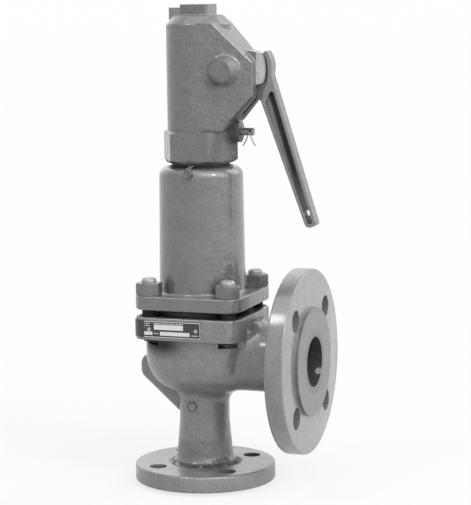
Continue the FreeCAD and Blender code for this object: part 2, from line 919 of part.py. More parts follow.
def housing_outline(inset):
    """Side outline of the lever housing, or of its cavity when it is set in."""
    top = cap_edge + housing_top_rise - inset
    roof_low = cap_low + housing_end_top
    roof_run = housing_reach - housing_roof_start
    roof_fall = cap_edge + housing_top_rise - roof_low
    roof_length = math.hypot(roof_run, roof_fall)
    end = housing_reach - inset
    low = cap_low + housing_end_low
    heel_z = cap_low + housing_heel_height
    heel_run = housing_reach - housing_heel_reach
    heel_rise = low - heel_z
    heel_length = math.hypot(heel_run, heel_rise)
    rounding = 0 if inset else housing_end_round
    roof_start = housing_roof_start + inset * (roof_run - roof_length) / roof_fall
    roof_end = roof_low + inset * (roof_fall - roof_length) / roof_run
    heel_top = low + inset * (heel_length - heel_rise) / heel_run
    tail_z = cap_low + housing_tail_height + inset
    tail_drop = heel_z + inset * heel_length / heel_run - tail_z
    tail_x = housing_heel_reach - tail_drop * heel_run / heel_rise
    return [
        (0, top, 0),
        (roof_start, top, housing_roof_round),
        (end, roof_end, rounding),
        (end, heel_top, rounding),
        (tail_x, tail_z, 0),
        (0, tail_z, 0),
    ]


def flank_tangent():
    """Point where the housing's flank leaves the round of the cap."""
    radius = cap_dia / 2
    away = math.hypot(housing_reach, housing_end_half)
    angle = math.atan2(housing_end_half, housing_reach) + math.acos(radius / away)
    return (radius * math.cos(angle), radius * math.sin(angle))


def make_housing():
    """Lever housing that grows tangent to the cap's round and tapers to its end wall."""
    root_x, root_y = flank_tangent()
    side = crosswise(housing_outline(0), -cap_dia / 2, cap_dia / 2)
    plan = upright([
        (0, 0, 0),
        (root_x, -root_y, 0),
        (housing_reach, -housing_end_half, 0),
        (housing_reach, housing_end_half, 0),
        (root_x, root_y, 0),
    ], cap_low, cap_top)
    housing = side.common(plan)
    rims = []
    for edge in housing.Edges:
        middle = edge_middle(edge)
        if middle.x > root_x + small_edge and abs(middle.y) > small_edge:
            rims.append(edge)
    return housing.makeFillet(housing_edge_round, rims)


def make_nose():
    """Rounded cheeks at the end wall that the lever's elbow wraps round."""
    nose = rod(2 * nose_radius, (fulcrum_reach, -nose_half, fulcrum_z), (0, 1, 0), 2 * nose_half)
    far = fulcrum_reach + nose_radius + small_edge
    top = cap_low + nose_top
    low = fulcrum_z - nose_drop
    root = housing_reach - cap_wall
    window = crosswise([
        (root - nose_root_depth, top + 2 * nose_taper_top, 0),
        (far, top - nose_taper_top, nose_corner_round),
        (far, low, nose_corner_round),
        (root, low - nose_taper_low, 0),
    ], -nose_half, nose_half)
    return nose.common(window)


def make_stub():
    """Stub on top of the cap: a block with a lower wedge that points away from the lever."""
    high = cap_top + stub_height
    root = cap_top - cap_shoulder_rise
    half_x = stub_length / 2
    half_y = stub_width / 2
    main = upright([
        (-half_x, -half_y, stub_back_round),
        (half_x, -half_y, stub_corner_round),
        (half_x, half_y, stub_corner_round),
        (-half_x, half_y, stub_back_round),
    ], root, high)
    wedge = upright([
        (stub_back_round - half_x, -half_y, 0),
        (stub_back_round - half_x, half_y, 0),
        (-stub_nose_reach, stub_nose_half, stub_nose_half),
        (-stub_nose_reach, -stub_nose_half, stub_nose_half),
    ], root, high - stub_nose_drop)
    return main.fuse(wedge)


def pin_boss(side):
    """Cone-sided boss on one flank of the lever housing."""
    return Part.makeCone(
        pin_boss_root_dia / 2,
        pin_boss_face_dia / 2,
        pin_boss_reach - pin_boss_root_reach,
        Vector(fulcrum_reach, side * pin_boss_root_reach, fulcrum_z),
        Vector(0, side, 0),
    )


def make_cap():
    """Cast cap with a hexagon foot, lever housing, pin bosses and a stub on top."""
    radius = cap_dia / 2
    foot = hexagon(cap_across_flats, cap_low, cap_hex_top, cap_hex_chamfer)
    barrel = turned([
        (0, cap_low + small_edge, 0),
        (radius, cap_low + small_edge, 0),
        (radius, cap_edge, cap_edge_round),
        (radius - cap_shoulder_inset, cap_top, cap_top_round),
        (0, cap_top, 0),
    ])
    housing = make_housing()
    for side in (-1, 1):
        housing = blended(housing, pin_boss(side), pin_boss_blend, lambda p: abs(p.y) > nose_half)
    outside = blended(barrel.fuse(housing).removeSplitter(), make_stub(), stub_blend)
    outside = foot.fuse(outside).removeSplitter()
    outside = blended(outside, make_nose(), nose_blend)
    screw_boss = rod(lock_screw_boss_dia, (0, 0, lock_screw_z), (1, 0, 0), lock_screw_boss_reach)
    outside = outside.fuse(screw_boss)
    ceiling = cap_top - cap_shoulder_rise - cap_wall
    thread_length = bonnet_neck_top + small_edge - cap_low
    thread = rod(bonnet_neck_dia + 2 * thread_gap, (0, 0, cap_low), (0, 0, 1), thread_length)
    hollow = turned([
        (0, cap_low, 0),
        (cap_bore / 2, cap_low, 0),
        (cap_bore / 2, ceiling, cap_ceiling_round),
        (0, ceiling, 0),
    ])
    cavity = crosswise(housing_outline(cap_wall), -housing_cavity_half, housing_cavity_half)
    slot_half = lever_web / 2 + slot_side_gap
    slot = block(
        housing_heel_reach + housing_slot_setback,
        housing_reach + nose_radius,
        slot_half,
        cap_low + housing_heel_height,
        fulcrum_z + lever_web_half_height + lever_elbow_gap,
    )
    blind = -pin_boss_reach + pin_boss_wall
    bore_length = pin_boss_reach - blind
    pin_bore = rod(pin_dia + 2 * thread_gap, (fulcrum_reach, blind, fulcrum_z), (0, 1, 0), bore_length)
    plug_bore = rod(
        pin_plug_dia + 2 * thread_gap,
        (fulcrum_reach, pin_boss_reach - pin_plug_length, fulcrum_z),
        (0, 1, 0),
        pin_plug_length,
    )
    screw_hole = rod(lock_screw_dia + 2 * thread_gap, (0, 0, lock_screw_z), (1, 0, 0), lock_screw_boss_reach)
    return outside.cut([thread, hollow, cavity, slot, pin_bore, plug_bore, screw_hole])


def make_fulcrum_pin():
    """Plain pin across the lever housing."""
    blind = -pin_boss_reach + pin_boss_wall
    length = pin_boss_reach - pin_plug_length - blind
    return rod(pin_dia, (fulcrum_reach, blind, fulcrum_z), (0, 1, 0), length)


def make_pin_plug():
    """Screwed plug with a hexagon socket that closes the pin's bore."""
    start = pin_boss_reach - pin_plug_length
    plug = rod(pin_plug_dia, (fulcrum_reach, start, fulcrum_z), (0, 1, 0), pin_plug_length)
    socket = hexagon(pin_plug_key, 0, pin_plug_length / 2, seam_tolerance)
    socket.rotate(Vector(0, 0, 0), Vector(1, 0, 0), -90)
    socket.translate(Vector(fulcrum_reach, start + pin_plug_length / 2, fulcrum_z))
    return plug.cut(socket)


def about_fulcrum(radius, angle):
    """Point at a radius and an angle about the fulcrum, in the middle plane."""
    turn = math.radians(angle)
    return (fulcrum_reach + radius * math.cos(turn), fulcrum_z + radius * math.sin(turn))


def arm_half(along):
    """Half the lever arm's width at a distance down the arm."""
    share = along / lever_arm_length
    return (lever_arm_top_width + (lever_arm_end_width - lever_arm_top_width) * share) / 2


def on_arm(along, across):
    """Point on the lever arm, measured down its middle line and across it."""
    tilt = math.radians(lever_arm_tilt)
    x = fulcrum_reach + lever_arm_start_reach + along * math.sin(tilt) + across * math.cos(tilt)
    z = fulcrum_z - lever_arm_start_drop - along * math.cos(tilt) + across * math.sin(tilt)
    return (x, z)


def elbow_corner(radius, first, last):
    """Corner whose rounding is the arc about the fulcrum between two angles."""
    half = math.radians(abs(last - first) / 2)
    x, z = about_fulcrum(radius / math.cos(half), (first + last) / 2)
    return (x, z, radius)


def make_lever():
    """Lever: a flat inner plate, a hooded elbow and a tapered arm of I-section."""
    inner_r = nose_radius + lever_elbow_gap
    outer_r = inner_r + lever_elbow_rim
    top = lever_elbow_top_angle
    heel = lever_elbow_heel_angle
    start = lever_rim_start
    length = lever_arm_length
    rounding = (lever_pocket_round,)
    arm = crosswise([
        about_fulcrum(outer_r, top) + (lever_heel_round,),
        elbow_corner(outer_r, top, lever_elbow_low_angle),
        about_fulcrum(outer_r, lever_elbow_low_angle) + (0,),
        on_arm(0, arm_half(0)) + (lever_knee_round,),
        on_arm(length, arm_half(length)) + (lever_end_round,),
        on_arm(length, -arm_half(length)) + (lever_end_back_round,),
        on_arm(start, -arm_half(start)) + (lever_heel_round,),
        about_fulcrum(inner_r, heel) + (0,),
        elbow_corner(inner_r, heel, top),
        about_fulcrum(inner_r, top) + (0,),
    ], -lever_width / 2, lever_width / 2)
    rims = [edge for edge in arm.Edges if edge.BoundBox.YLength < seam_tolerance]
    arm = arm.makeFillet(lever_edge_round, rims)
    low = length - lever_rim
    pocket_outline = [
        on_arm(0, arm_half(0) - lever_rim) + rounding,
        on_arm(low, arm_half(low) - lever_rim) + rounding,
        on_arm(low, -arm_half(low) + lever_rim) + rounding,
        on_arm(start + lever_rim, -arm_half(start) + lever_rim) + rounding,
    ]
    near_pocket = crosswise(pocket_outline, -lever_width, -lever_web / 2)
    far_pocket = crosswise(pocket_outline, lever_web / 2, lever_width)
    half = lever_web_half_height
    tail = fork_bar_far + running_gap
    web_end_r = outer_r - lever_elbow_rim / 2
    web = crosswise([
        (tail, fulcrum_z - half / 2) + rounding,
        (tail, fulcrum_z + half / 2) + rounding,
        (fulcrum_reach - half / 2, fulcrum_z + half, lever_web_round),
        (fulcrum_reach + math.sqrt(web_end_r ** 2 - half ** 2), fulcrum_z + half, 0),
        about_fulcrum(web_end_r, lever_elbow_low_angle) + (0,),
        on_arm(start + lever_rim, 0) + (0,),
        on_arm(start + lever_rim, -arm_half(start) + lever_rim / 2) + (0,),
        about_fulcrum(half + lever_web / 2, lever_web_low_angle) + (lever_web_round,),
        (fulcrum_reach - half / 2, fulcrum_z - half, lever_web_round),
    ], -lever_web / 2, lever_web / 2)
    side = -lever_width
    across = 2 * lever_width
    pin_hole = rod(pin_dia + 2 * running_gap, (fulcrum_reach, side, fulcrum_z), (0, 1, 0), across)
    rivet_hole = rod(fork_rivet_dia + 2 * thread_gap, (fork_rivet_reach, side, fulcrum_z), (0, 1, 0), across)
    hole_x, hole_z = on_arm(length - lever_hole_setback, 0)
    cord_hole = rod(lever_hole_dia, (hole_x, side, hole_z), (0, 1, 0), across)
    return arm.cut([near_pocket, far_pocket]).fuse(web).cut([pin_hole, rivet_hole, cord_hole])


def make_lift_fork():
    """Fork on the pin: it holds the lever's plate and reaches both sides of the spindle."""
    half = fork_finger_height / 2
    hub = fork_hub_radius
    side = crosswise([
        (-fork_pad_radius, fulcrum_z - half, fork_bar_round),
        (-fork_pad_radius, fulcrum_z + half, fork_bar_round),
        (fork_bar_far, fulcrum_z + half, fork_shoulder_round),
        (fulcrum_reach - half, fulcrum_z + hub, fork_waist_round),
        (fulcrum_reach + hub, fulcrum_z + hub, hub),
        (fulcrum_reach + hub, fulcrum_z - hub, hub),
        (fulcrum_reach - half, fulcrum_z - hub, fork_waist_round),
        (fork_bar_far, fulcrum_z - half, fork_shoulder_round),
    ], -fork_half, fork_half)
    pad = rod(2 * fork_pad_radius, (0, -fork_half, fork_pad_top - fork_pad_radius), (0, 1, 0), 2 * fork_half)
    low = fulcrum_z - fork_half
    high = fulcrum_z + fork_half
    width = 2 * fork_half
    finger_gap = block(-2 * fork_pad_radius, fork_bar_near, fork_half - fork_thick, low, high)
    plate_slot = block(fork_bar_far, fulcrum_reach + 2 * hub, lever_web / 2 + running_gap, low, high)
    pin_hole = rod(pin_dia + 2 * running_gap, (fulcrum_reach, -fork_half, fulcrum_z), (0, 1, 0), width)
    rivet_hole_dia = fork_rivet_dia + 2 * thread_gap
    rivet_hole = rod(rivet_hole_dia, (fork_rivet_reach, -fork_half, fulcrum_z), (0, 1, 0), width)
    return side.fuse(pad).cut([finger_gap, plate_slot, pin_hole, rivet_hole])


def make_fork_rivet():
    """Rivet that ties the fork to the lever's plate."""
    return rod(fork_rivet_dia, (fork_rivet_reach, -fork_half, fulcrum_z), (0, 1, 0), 2 * fork_half)


def make_lift_collar():
    """Collar on the spindle's top thread that the fork lifts."""
    bore_r = spindle_upper_dia / 2 + thread_gap
    radius = lift_collar_dia / 2
    return turned([
        (bore_r, lift_collar_low, 0),
        (radius, lift_collar_low, 0),
        (radius, lift_collar_top - lift_collar_chamfer, 0),
        (radius - lift_collar_chamfer, lift_collar_top, 0),
        (bore_r, lift_collar_top, 0),
    ])


def make_collar_nut():
    """Nut that locks the lift collar."""
    nut = hexagon(collar_nut_across_flats, lift_collar_top, collar_nut_top, small_edge)
    thread_dia = spindle_upper_dia + 2 * thread_gap
    return nut.cut(rod(thread_dia, (0, 0, lift_collar_top), (0, 0, 1), collar_nut_height))


def make_lock_screw():
    """Screw through the cap's foot that bears on the bonnet's neck."""
    start = bonnet_neck_dia / 2 + locating_gap
    screw = rod(lock_screw_dia, (start, 0, lock_screw_z), (1, 0, 0), lock_screw_reach - start)
    pin_x = lock_screw_reach - split_pin_setback
    hole = rod(2 * split_pin_wire, (pin_x, -lock_screw_dia, lock_screw_z), (0, 1, 0), 2 * lock_screw_dia)
    return screw.cut(hole)


def make_split_pin():
    """Split pin across the locking screw: an eye behind, two legs bent down in front."""
    x = lock_screw_reach - split_pin_setback
    half = lock_screw_dia / 2 + split_pin_wire
    spread = math.radians(split_pin_spread)
    eye_y = half + split_pin_eye + split_pin_wire / 2
    eye = Part.makeTorus(split_pin_eye, split_pin_wire / 2, Vector(x, eye_y, lock_screw_z), Vector(1, 0, 0))
    shank_dia = 2 * split_pin_wire - 2 * locating_gap
    shank = rod(shank_dia, (x, -half, lock_screw_z), (0, 1, 0), 2 * half + seal_wire_stand)
    pieces = [shank]
    for side in (-1, 1):
        axis = (side * math.sin(spread), 0, -math.cos(spread))
        start = (x, split_pin_wire / 2 - half, lock_screw_z)
        pieces.append(rod(split_pin_wire, start, axis, split_pin_leg))
    return eye.multiFuse(pieces)


def seal_place():
    """Centre of the lead seal, resting on the bonnet's shoulder."""
    y = -bonnet_head_dia / 2 - 2 * locating_gap - seal_thick / 2
    return (seal_offset, y, bonnet_shoulder - seal_drop)


def make_seal_wire():
    """Sealing wire: a loop round the neck and two strands that hang through the seal."""
    loop_r = collar_dia / 2 + seal_wire_stand + seal_wire_dia / 2
    loop_z = collar_top + seal_wire_dia
    x, y, z = seal_place()
    pieces = [Part.makeTorus(loop_r, seal_wire_dia / 2, Vector(0, 0, loop_z))]
    over_shoulder = bonnet_shoulder + seal_wire_dia / 2 + lift_gap
    end_z = z - seal_dia / 2 - seal_wire_tail
    for side in (-0.5, 0.5):
        strand_x = x + side * seal_wire_pitch
        route = [
            Vector(strand_x, -loop_r, loop_z),
            Vector(strand_x, -bonnet_head_dia / 2 + seal_wire_dia, over_shoulder),
            Vector(strand_x, y, z + seal_dia / 2),
            Vector(strand_x, y, end_z),
        ]
        for first, last in zip(route, route[1:]):
            run = last - first
            pieces.append(Part.makeCylinder(seal_wire_dia / 2, run.Length, first, run))
        pieces += [Part.makeSphere(seal_wire_dia / 2, bend) for bend in route[1:-1]]
    return pieces[0].multiFuse(pieces[1:])


def make_lead_seal():
    """Pressed lead seal on the wire's two strands."""
    x, y, z = seal_place()
    disc = rod(seal_dia, (x, y - seal_thick / 2, z), (0, 1, 0), seal_thick)
    return disc.cut(make_seal_wire())


def nameplate_rivet_places():
    """Where the two rivets meet the nameplate's face."""
    head_y = -body_square / 2 - nameplate_thick
    centre_z = body_square_low + body_square_thick / 2
    right = nameplate_end - nameplate_rivet_inset
    return [(right, head_y, centre_z), (right - nameplate_rivet_pitch, head_y, centre_z)]


def nameplate_rivet_holes():
    """Holes for the rivets' shanks, through the plate and into the casting."""
    dia = nameplate_rivet_dia + 2 * thread_gap
    depth = nameplate_rivet_depth + locating_gap
    return [rod(dia, place, (0, 1, 0), depth) for place in nameplate_rivet_places()]


def make_nameplate():
    """Thin plate on the front of the square flange, bent round its left corner."""
    start = nameplate_end - nameplate_length
    low = body_square_low + (body_square_thick - nameplate_height) / 2
    high = low + nameplate_height
    skin = square_prism(body_square + 2 * nameplate_thick, low, high)
    skin = skin.cut(square_prism(body_square, low, high))
    front = -body_square / 2 - nameplate_thick
    keep = Part.makeBox(nameplate_length, body_square / 2, nameplate_height, Vector(start, front, low))
    return skin.common(keep).cut(nameplate_rivet_holes())


def make_nameplate_rivets():
    """Two drive rivets that hold the nameplate."""
    pieces = []
    for x, y, z in nameplate_rivet_places():
        shank = rod(nameplate_rivet_dia, (x, y, z), (0, 1, 0), nameplate_rivet_depth)
        head = rod(nameplate_rivet_head_dia, (x, y, z), (0, -1, 0), nameplate_rivet_head)
        pieces.append(head.fuse(shank))
    return Part.makeCompound(pieces)


def save(node, shape):
    """Write one named piece."""
    shape.exportStep("parts/" + node + ".step")
    print(node, len(shape.Solids), round(shape.Volume, 1), shape.isValid())


os.makedirs("parts", exist_ok=True)
save("body", make_body())
save("seat_ring", make_seat())
save("disc", make_disc())
save("disc_retaining_ring", make_retaining_ring())
save("disc_ball", make_ball())
save("spindle", make_spindle())
save("guide_plate", make_guide_plate())
save("guide_bush", make_guide_bush())
save("body_gasket", make_body_gasket())
save("bonnet_gasket", make_bonnet_gasket())
save("bonnet", make_bonnet())
save("bonnet_studs", make_studs())
save("bonnet_nuts", make_nuts())
save("lower_spring_plate", spring_plate(lower_plate_low, True))
save("spring", make_spring())
save("upper_spring_plate", spring_plate(spring_top, False))
save("setting_screw", make_setting_screw())
save("setting_lock_nut", make_lock_nut())
save("cap_gasket", make_cap_gasket())
save("cap", make_cap())
save("fulcrum_pin", make_fulcrum_pin())
save("fulcrum_plug", make_pin_plug())
save("lever", make_lever())
save("lift_fork", make_lift_fork())
save("fork_rivet", make_fork_rivet())
save("lift_collar", make_lift_collar())
save("collar_nut", make_collar_nut())
save("cap_locking_screw", make_lock_screw())
save("split_pin", make_split_pin())
save("seal_wire", make_seal_wire())
save("lead_seal", make_lead_seal())
save("nameplate", make_nameplate())
save("nameplate_rivets", make_nameplate_rivets())
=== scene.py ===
import math
import bmesh
import bpy
from mathutils import Matrix, Vector


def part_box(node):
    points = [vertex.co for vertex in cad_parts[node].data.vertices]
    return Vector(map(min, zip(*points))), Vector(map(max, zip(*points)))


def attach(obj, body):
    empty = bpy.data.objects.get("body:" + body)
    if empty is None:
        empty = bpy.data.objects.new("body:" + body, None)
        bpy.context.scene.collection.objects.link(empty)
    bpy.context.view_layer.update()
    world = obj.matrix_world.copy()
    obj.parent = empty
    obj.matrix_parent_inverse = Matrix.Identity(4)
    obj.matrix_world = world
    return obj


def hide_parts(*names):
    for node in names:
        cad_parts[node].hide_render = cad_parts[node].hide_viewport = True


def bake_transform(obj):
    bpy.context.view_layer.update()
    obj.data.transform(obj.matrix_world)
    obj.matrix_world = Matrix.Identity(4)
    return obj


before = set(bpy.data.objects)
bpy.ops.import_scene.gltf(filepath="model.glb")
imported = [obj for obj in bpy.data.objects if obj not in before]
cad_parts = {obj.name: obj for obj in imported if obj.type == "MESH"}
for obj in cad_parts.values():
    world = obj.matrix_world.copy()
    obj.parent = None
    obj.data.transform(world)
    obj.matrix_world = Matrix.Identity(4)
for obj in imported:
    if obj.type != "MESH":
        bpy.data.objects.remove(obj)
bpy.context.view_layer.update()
MM = 0.001


# Body casting: one grey iron casting from the inlet flange to the square joint.
# It is sand-cast, turned and drilled at its flanges, and enamelled grey over the
# foundry skin, so the enamel shines on soft lumps and a fine sandy grain.

class Field:
    """A value that changes from point to point; the plain signs join it to numbers and other values."""

    def __init__(self, tree, socket):
        self.tree = tree
        self.socket = socket

    def node(self, kind, settings, links, output=0):
        """Any other node: its settings first, then the values or links of its sockets."""
        made = self.tree.nodes.new(kind)
        for name, value in settings.items():
            setattr(made, name, value)
        for name, value in links.items():
            if isinstance(value, Field):
                self.tree.links.new(value.socket, made.inputs[name])
            else:
                made.inputs[name].default_value = value
        return Field(self.tree, made.outputs[output])

    def math(self, operation, *values):
        """One Math node on plain values."""
        return self.node("ShaderNodeMath", {"operation": operation}, dict(enumerate(values)))

    def vector(self, operation, *values, output=0):
        """One Vector Math node."""
        return self.node("ShaderNodeVectorMath", {"operation": operation}, dict(enumerate(values)), output)

    @property
    def x(self):
        """How far a point lies toward the outlet."""
        return self.node("ShaderNodeSeparateXYZ", {}, {0: self}, 0)

    @property
    def y(self):
        """How far a point lies toward the back."""
        return self.node("ShaderNodeSeparateXYZ", {}, {0: self}, 1)

    @property
    def z(self):
        """How high a point lies."""
        return self.node("ShaderNodeSeparateXYZ", {}, {0: self}, 2)

    def times(self, length):
        """The vector made longer or shorter."""
        return self.node("ShaderNodeVectorMath", {"operation": "SCALE"}, {0: self, "Scale": length})

    def __add__(self, other):
        return self.math("ADD", self, other)

    def __radd__(self, other):
        return self.math("ADD", other, self)

    def __sub__(self, other):
        return self.math("SUBTRACT", self, other)

    def __rsub__(self, other):
        return self.math("SUBTRACT", other, self)

    def __mul__(self, other):
        return self.math("MULTIPLY", self, other)

    def __rmul__(self, other):
        return self.math("MULTIPLY", other, self)

    def __truediv__(self, other):
        return self.math("DIVIDE", self, other)

    def __rtruediv__(self, other):
        return self.math("DIVIDE", other, self)

    def __abs__(self):
        return self.math("ABSOLUTE", self)

    def sine(self):
        """Sine of an angle in radians."""
        return self.math("SINE", self)

    def cosine(self):
        """Cosine of an angle in radians."""
        return self.math("COSINE", self)

    def most(self, other):
        """The larger of two values."""
        return self.math("MAXIMUM", self, other)

    def between(self, low, high):
        """0 below low, 1 above high, and a smooth rise from one to the other."""
        return self.node(
            "ShaderNodeMapRange", {"interpolation_type": "SMOOTHSTEP"},
            {"Value": self, "From Min": low, "From Max": high, "To Min": 0.0, "To Max": 1.0})

    def band(self, low, high, soft):
        """1 from low to high, falling to 0 over the soft edges outside them."""
        return self.between(low - soft, low) * (1 - self.between(high, high + soft))

    def away(self, place, across=(1, 1, 1)):
        """Distance from a place, measured only along the axes that across holds."""
        offset = self.vector("SUBTRACT", self, place)
        offset = offset.vector("MULTIPLY", offset, across)
        return offset.vector("LENGTH", offset, output=1)

    def along(self, place, direction):
        """How far a point lies past a place in a direction."""
        offset = self.vector("SUBTRACT", self, place)
        return offset.vector("DOT_PRODUCT", offset, direction, output=1)

    def grain(self, size, detail=2.0):
        """Cloudy noise, from 0 to 1, whose patches are about as wide as size in metres."""
        return self.node(
            "ShaderNodeTexNoise", {"noise_dimensions": "3D"},
            {"Vector": self, "Scale": 1 / size, "Detail": detail, "Roughness": 0.55})

    def tint(self, first, second):
        """The colour that runs from first to second as this value goes from 0 to 1."""
        # A Mix node takes colours at its sockets 6 and 7 and gives one at its output 2.
        ends = [colour if isinstance(colour, Field) else (*colour, 1.0) for colour in (first, second)]
        return self.node("ShaderNodeMix", {"data_type": "RGBA"}, {0: self, 6: ends[0], 7: ends[1]}, 2)


def new_finish(name, **constants):
    """Material with its plain numbers set; gives it, its shader and the point on the piece."""
    material = bpy.data.materials.new(name)
    material.use_nodes = True
    tree = material.node_tree
    shader = tree.nodes["Principled BSDF"]
    for socket, value in constants.items():
        shader.inputs[socket.replace("_", " ")].default_value = value
    place = tree.nodes.new("ShaderNodeTexCoord")
    return material, shader, Field(tree, place.outputs["Object"])


def join_finish(shader, colour, roughness, height=None, coat=None):
    """Link what changes over the surface to the shader; height is in metres."""
    tree = shader.id_data
    tree.links.new(colour.socket, shader.inputs["Base Color"])
    tree.links.new(roughness.socket, shader.inputs["Roughness"])
    if height is not None:
        bump = height.node("ShaderNodeBump", {}, {"Strength": 1.0, "Distance": 1.0, "Height": height})
        tree.links.new(bump.socket, shader.inputs["Normal"])
    if coat is not None:
        tree.links.new(coat.socket, shader.inputs["Coat Weight"])


# Each casting scales these greys by its tone; the tones are partly painted light and shade, making whole
# castings paler or darker in place of lamplight.
enamel_dark = (0.132, 0.134, 0.136)
enamel_light = (0.180, 0.182, 0.184)
enamel_pale = (0.450, 0.452, 0.455)
dirt_and_shade_black = (0.016, 0.016, 0.017)
enamel_coat = 0.85
sand_size = 1.3 * MM
speck_size = 1.8 * MM
cloud_size = 6 * MM


def enamel(name, lump, depth, sand, tone=1.0, haze=0.16, smooth=None, relief=None, darkening=None, paling=None):
    """Grey enamel over a cast skin: soft lumps, finer ones on them, and a grain as deep as sand.

    tone makes the whole coat paler or darker, haze blurs what it reflects, smooth is 1 where the
    metal under it was turned, relief adds a height of its own, the next input is 1 where the coat
    is blackened, by dirt and by painted shade, and the last is 1 where it is made pale, by painted
    light, a painted highlight and on the studs' ends.
    """
    material, shader, place = new_finish(name, Coat_Roughness=haze, Coat_IOR=1.65)
    broad = place.grain(lump)
    fine = place.grain(lump / 4, 3.0)
    height = broad * depth + fine * (depth * 0.4) + place.grain(sand_size) * sand
    speck = place.grain(speck_size, 3.0)
    shade = broad * 0.35 + fine * 0.30 + speck * 0.35
    if smooth is not None:
        height = height * (1 - smooth(place) * 0.9)
    if relief is not None:
        height = height + relief(place)
    dark, light = ([part * tone for part in colour] for colour in (enamel_dark, enamel_light))
    colour = shade.between(0.35, 0.65).tint(dark, light)
    roughness = 0.28 + place.grain(cloud_size, 3.0) * 0.16
    coat = None
    # Made paler where light and a highlight are painted; blackened where dirt and painted shade are.
    if paling is not None:
        colour = paling(place).tint(colour, enamel_pale)
    if darkening is not None:
        dark_share = darkening(place)
        colour = dark_share.tint(colour, dirt_and_shade_black)
        roughness = roughness + dark_share * 0.5
        coat = (1 - dark_share) * enamel_coat
    else:
        shader.inputs["Coat Weight"].default_value = enamel_coat
    join_finish(shader, colour, roughness, height, coat)
    return material


def in_scene(name, data):
    """New object of a mesh, curve, lamp or camera, at the origin."""
    made = bpy.data.objects.new(name, data)
    bpy.context.scene.collection.objects.link(made)
    return made


merge_reach = 0.002 * MM
flat_angle = math.radians(0.5)
sharp_angle = math.radians(32)


def merged_copy(node, name, material):
    """The solid as one smooth mesh that stands for it."""
    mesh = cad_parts[node].data.copy()
    mesh.name = name
    shape = bmesh.new()
    shape.from_mesh(mesh)
    bmesh.ops.remove_doubles(shape, verts=shape.verts, dist=merge_reach)
    bmesh.ops.dissolve_degenerate(shape, edges=shape.edges, dist=merge_reach)
    bmesh.ops.dissolve_limit(
        shape, angle_limit=flat_angle, verts=shape.verts, edges=shape.edges, delimit={"NORMAL"})
    shape.to_mesh(mesh)
    shape.free()
    piece = in_scene(name, mesh)
    mesh.shade_smooth()
    mesh.set_sharp_from_angle(angle=sharp_angle)
    mesh.materials.clear()
    mesh.materials.append(material)
    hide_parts(node)
    return piece


def finished_copy(node, name, body, material, edge=0.5 * MM):
    """The solid as it leaves the shop, with its sharp edges broken."""
    piece = merged_copy(node, name, material)
    bevel = piece.modifiers.new("broken edges", "BEVEL")
    bevel.width = edge
    bevel.segments = 2
    bevel.limit_method = "ANGLE"
    bevel.angle_limit = sharp_angle
    bevel.harden_normals = True
    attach(piece, body)


outlet_face = 95 * MM
outlet_flange_front = 92 * MM
outlet_axis = (0.0, 0.0, 104 * MM)
outlet_bore_radius = 20 * MM
outlet_rim_radius = 75 * MM
inlet_rim_radius = 57.5 * MM
inlet_face_raise = 2.5 * MM
past_inlet = 60 * MM
below_outlet = 20 * MM
neck_foot_radius = 26.5 * MM
square_low = 123.5 * MM
square_top = 141.5 * MM
joint_half = 42 * MM
groove_pitch = 1.1 * MM
groove_depth = 0.06 * MM


def from_outlet_axis(place):
    """Distance from the outlet's axis."""
    return place.away(outlet_axis, (0, 1, 1))


def from_spindle_axis(place):
    """Distance from the spindle's axis."""
    return place.away((0, 0, 0), (1, 1, 0))


def turned_faces(place):
    """1 on the faces and rims of both flanges, which were turned."""
    outlet = place.x.between(outlet_flange_front - 0.8 * MM, outlet_flange_front - 0.3 * MM)
    inlet = 1 - place.z.between(inlet_face_raise + 0.1 * MM, inlet_face_raise + 0.5 * MM)
    outlet_rim = from_outlet_axis(place).between(outlet_rim_radius - 1.2 * MM, outlet_rim_radius - 0.6 * MM)
    outlet_rim = outlet_rim * place.x.between(past_inlet, past_inlet + 2 * MM)
    inlet_rim = from_spindle_axis(place).between(inlet_rim_radius - 1.2 * MM, inlet_rim_radius - 0.6 * MM)
    inlet_rim = inlet_rim * (1 - place.z.between(below_outlet, below_outlet + 2 * MM))
    return outlet.most(inlet).most(outlet_rim).most(inlet_rim)


def gasket_grooves(place):
    """Fine turned rings on the outlet's raised face."""
    rings = (from_outlet_axis(place) * (math.tau / groove_pitch)).sine()
    on_face = place.x.between(outlet_face - 0.4 * MM, outlet_face - 0.2 * MM)
    return rings * on_face * (groove_depth / 2)


def within_joint(place):
    """1 well inside the square joint, where light never reaches."""
    wide = abs(place.x).most(abs(place.y))
    return 1 - wide.between(joint_half - 1.5 * MM, joint_half + 0.5 * MM)


foundry_pad = (-3.3 * MM, -21 * MM, 65 * MM)
pad_ring = 3.0 * MM
pad_ring_height = 0.35 * MM
# Centre of the painted glint in the outlet's bore.
glint_spot = (93 * MM, 16.8 * MM, 93.2 * MM)
throat_plane = 30 * MM
neck_line = 37 * MM
bore_shade = 0.9
raised_dirt = 0.30
mouth_dirt = 0.42
foot_crease_shade = 0.8
pad_ring_dark = 0.6
neck_lower_dark = 0.14


def body_relief(place):
    """The outlet's turned rings, and a low ring on the round foundry pad."""
    ring = place.away(foundry_pad).band(pad_ring - 0.3 * MM, pad_ring + 0.3 * MM, 0.4 * MM)
    return gasket_grooves(place) + ring * pad_ring_height


def in_outlet_bore(place):
    """1 on the wall of the outlet's bore."""
    return 1 - from_outlet_axis(place).between(outlet_bore_radius + 0.2 * MM, outlet_bore_radius + 0.8 * MM)


def bore_glint(place):
    """Painted highlight: a pale glint on the bore's wall inside the outlet's mouth."""
    return in_outlet_bore(place) * (1 - place.away(glint_spot).between(1.5 * MM, 4 * MM))


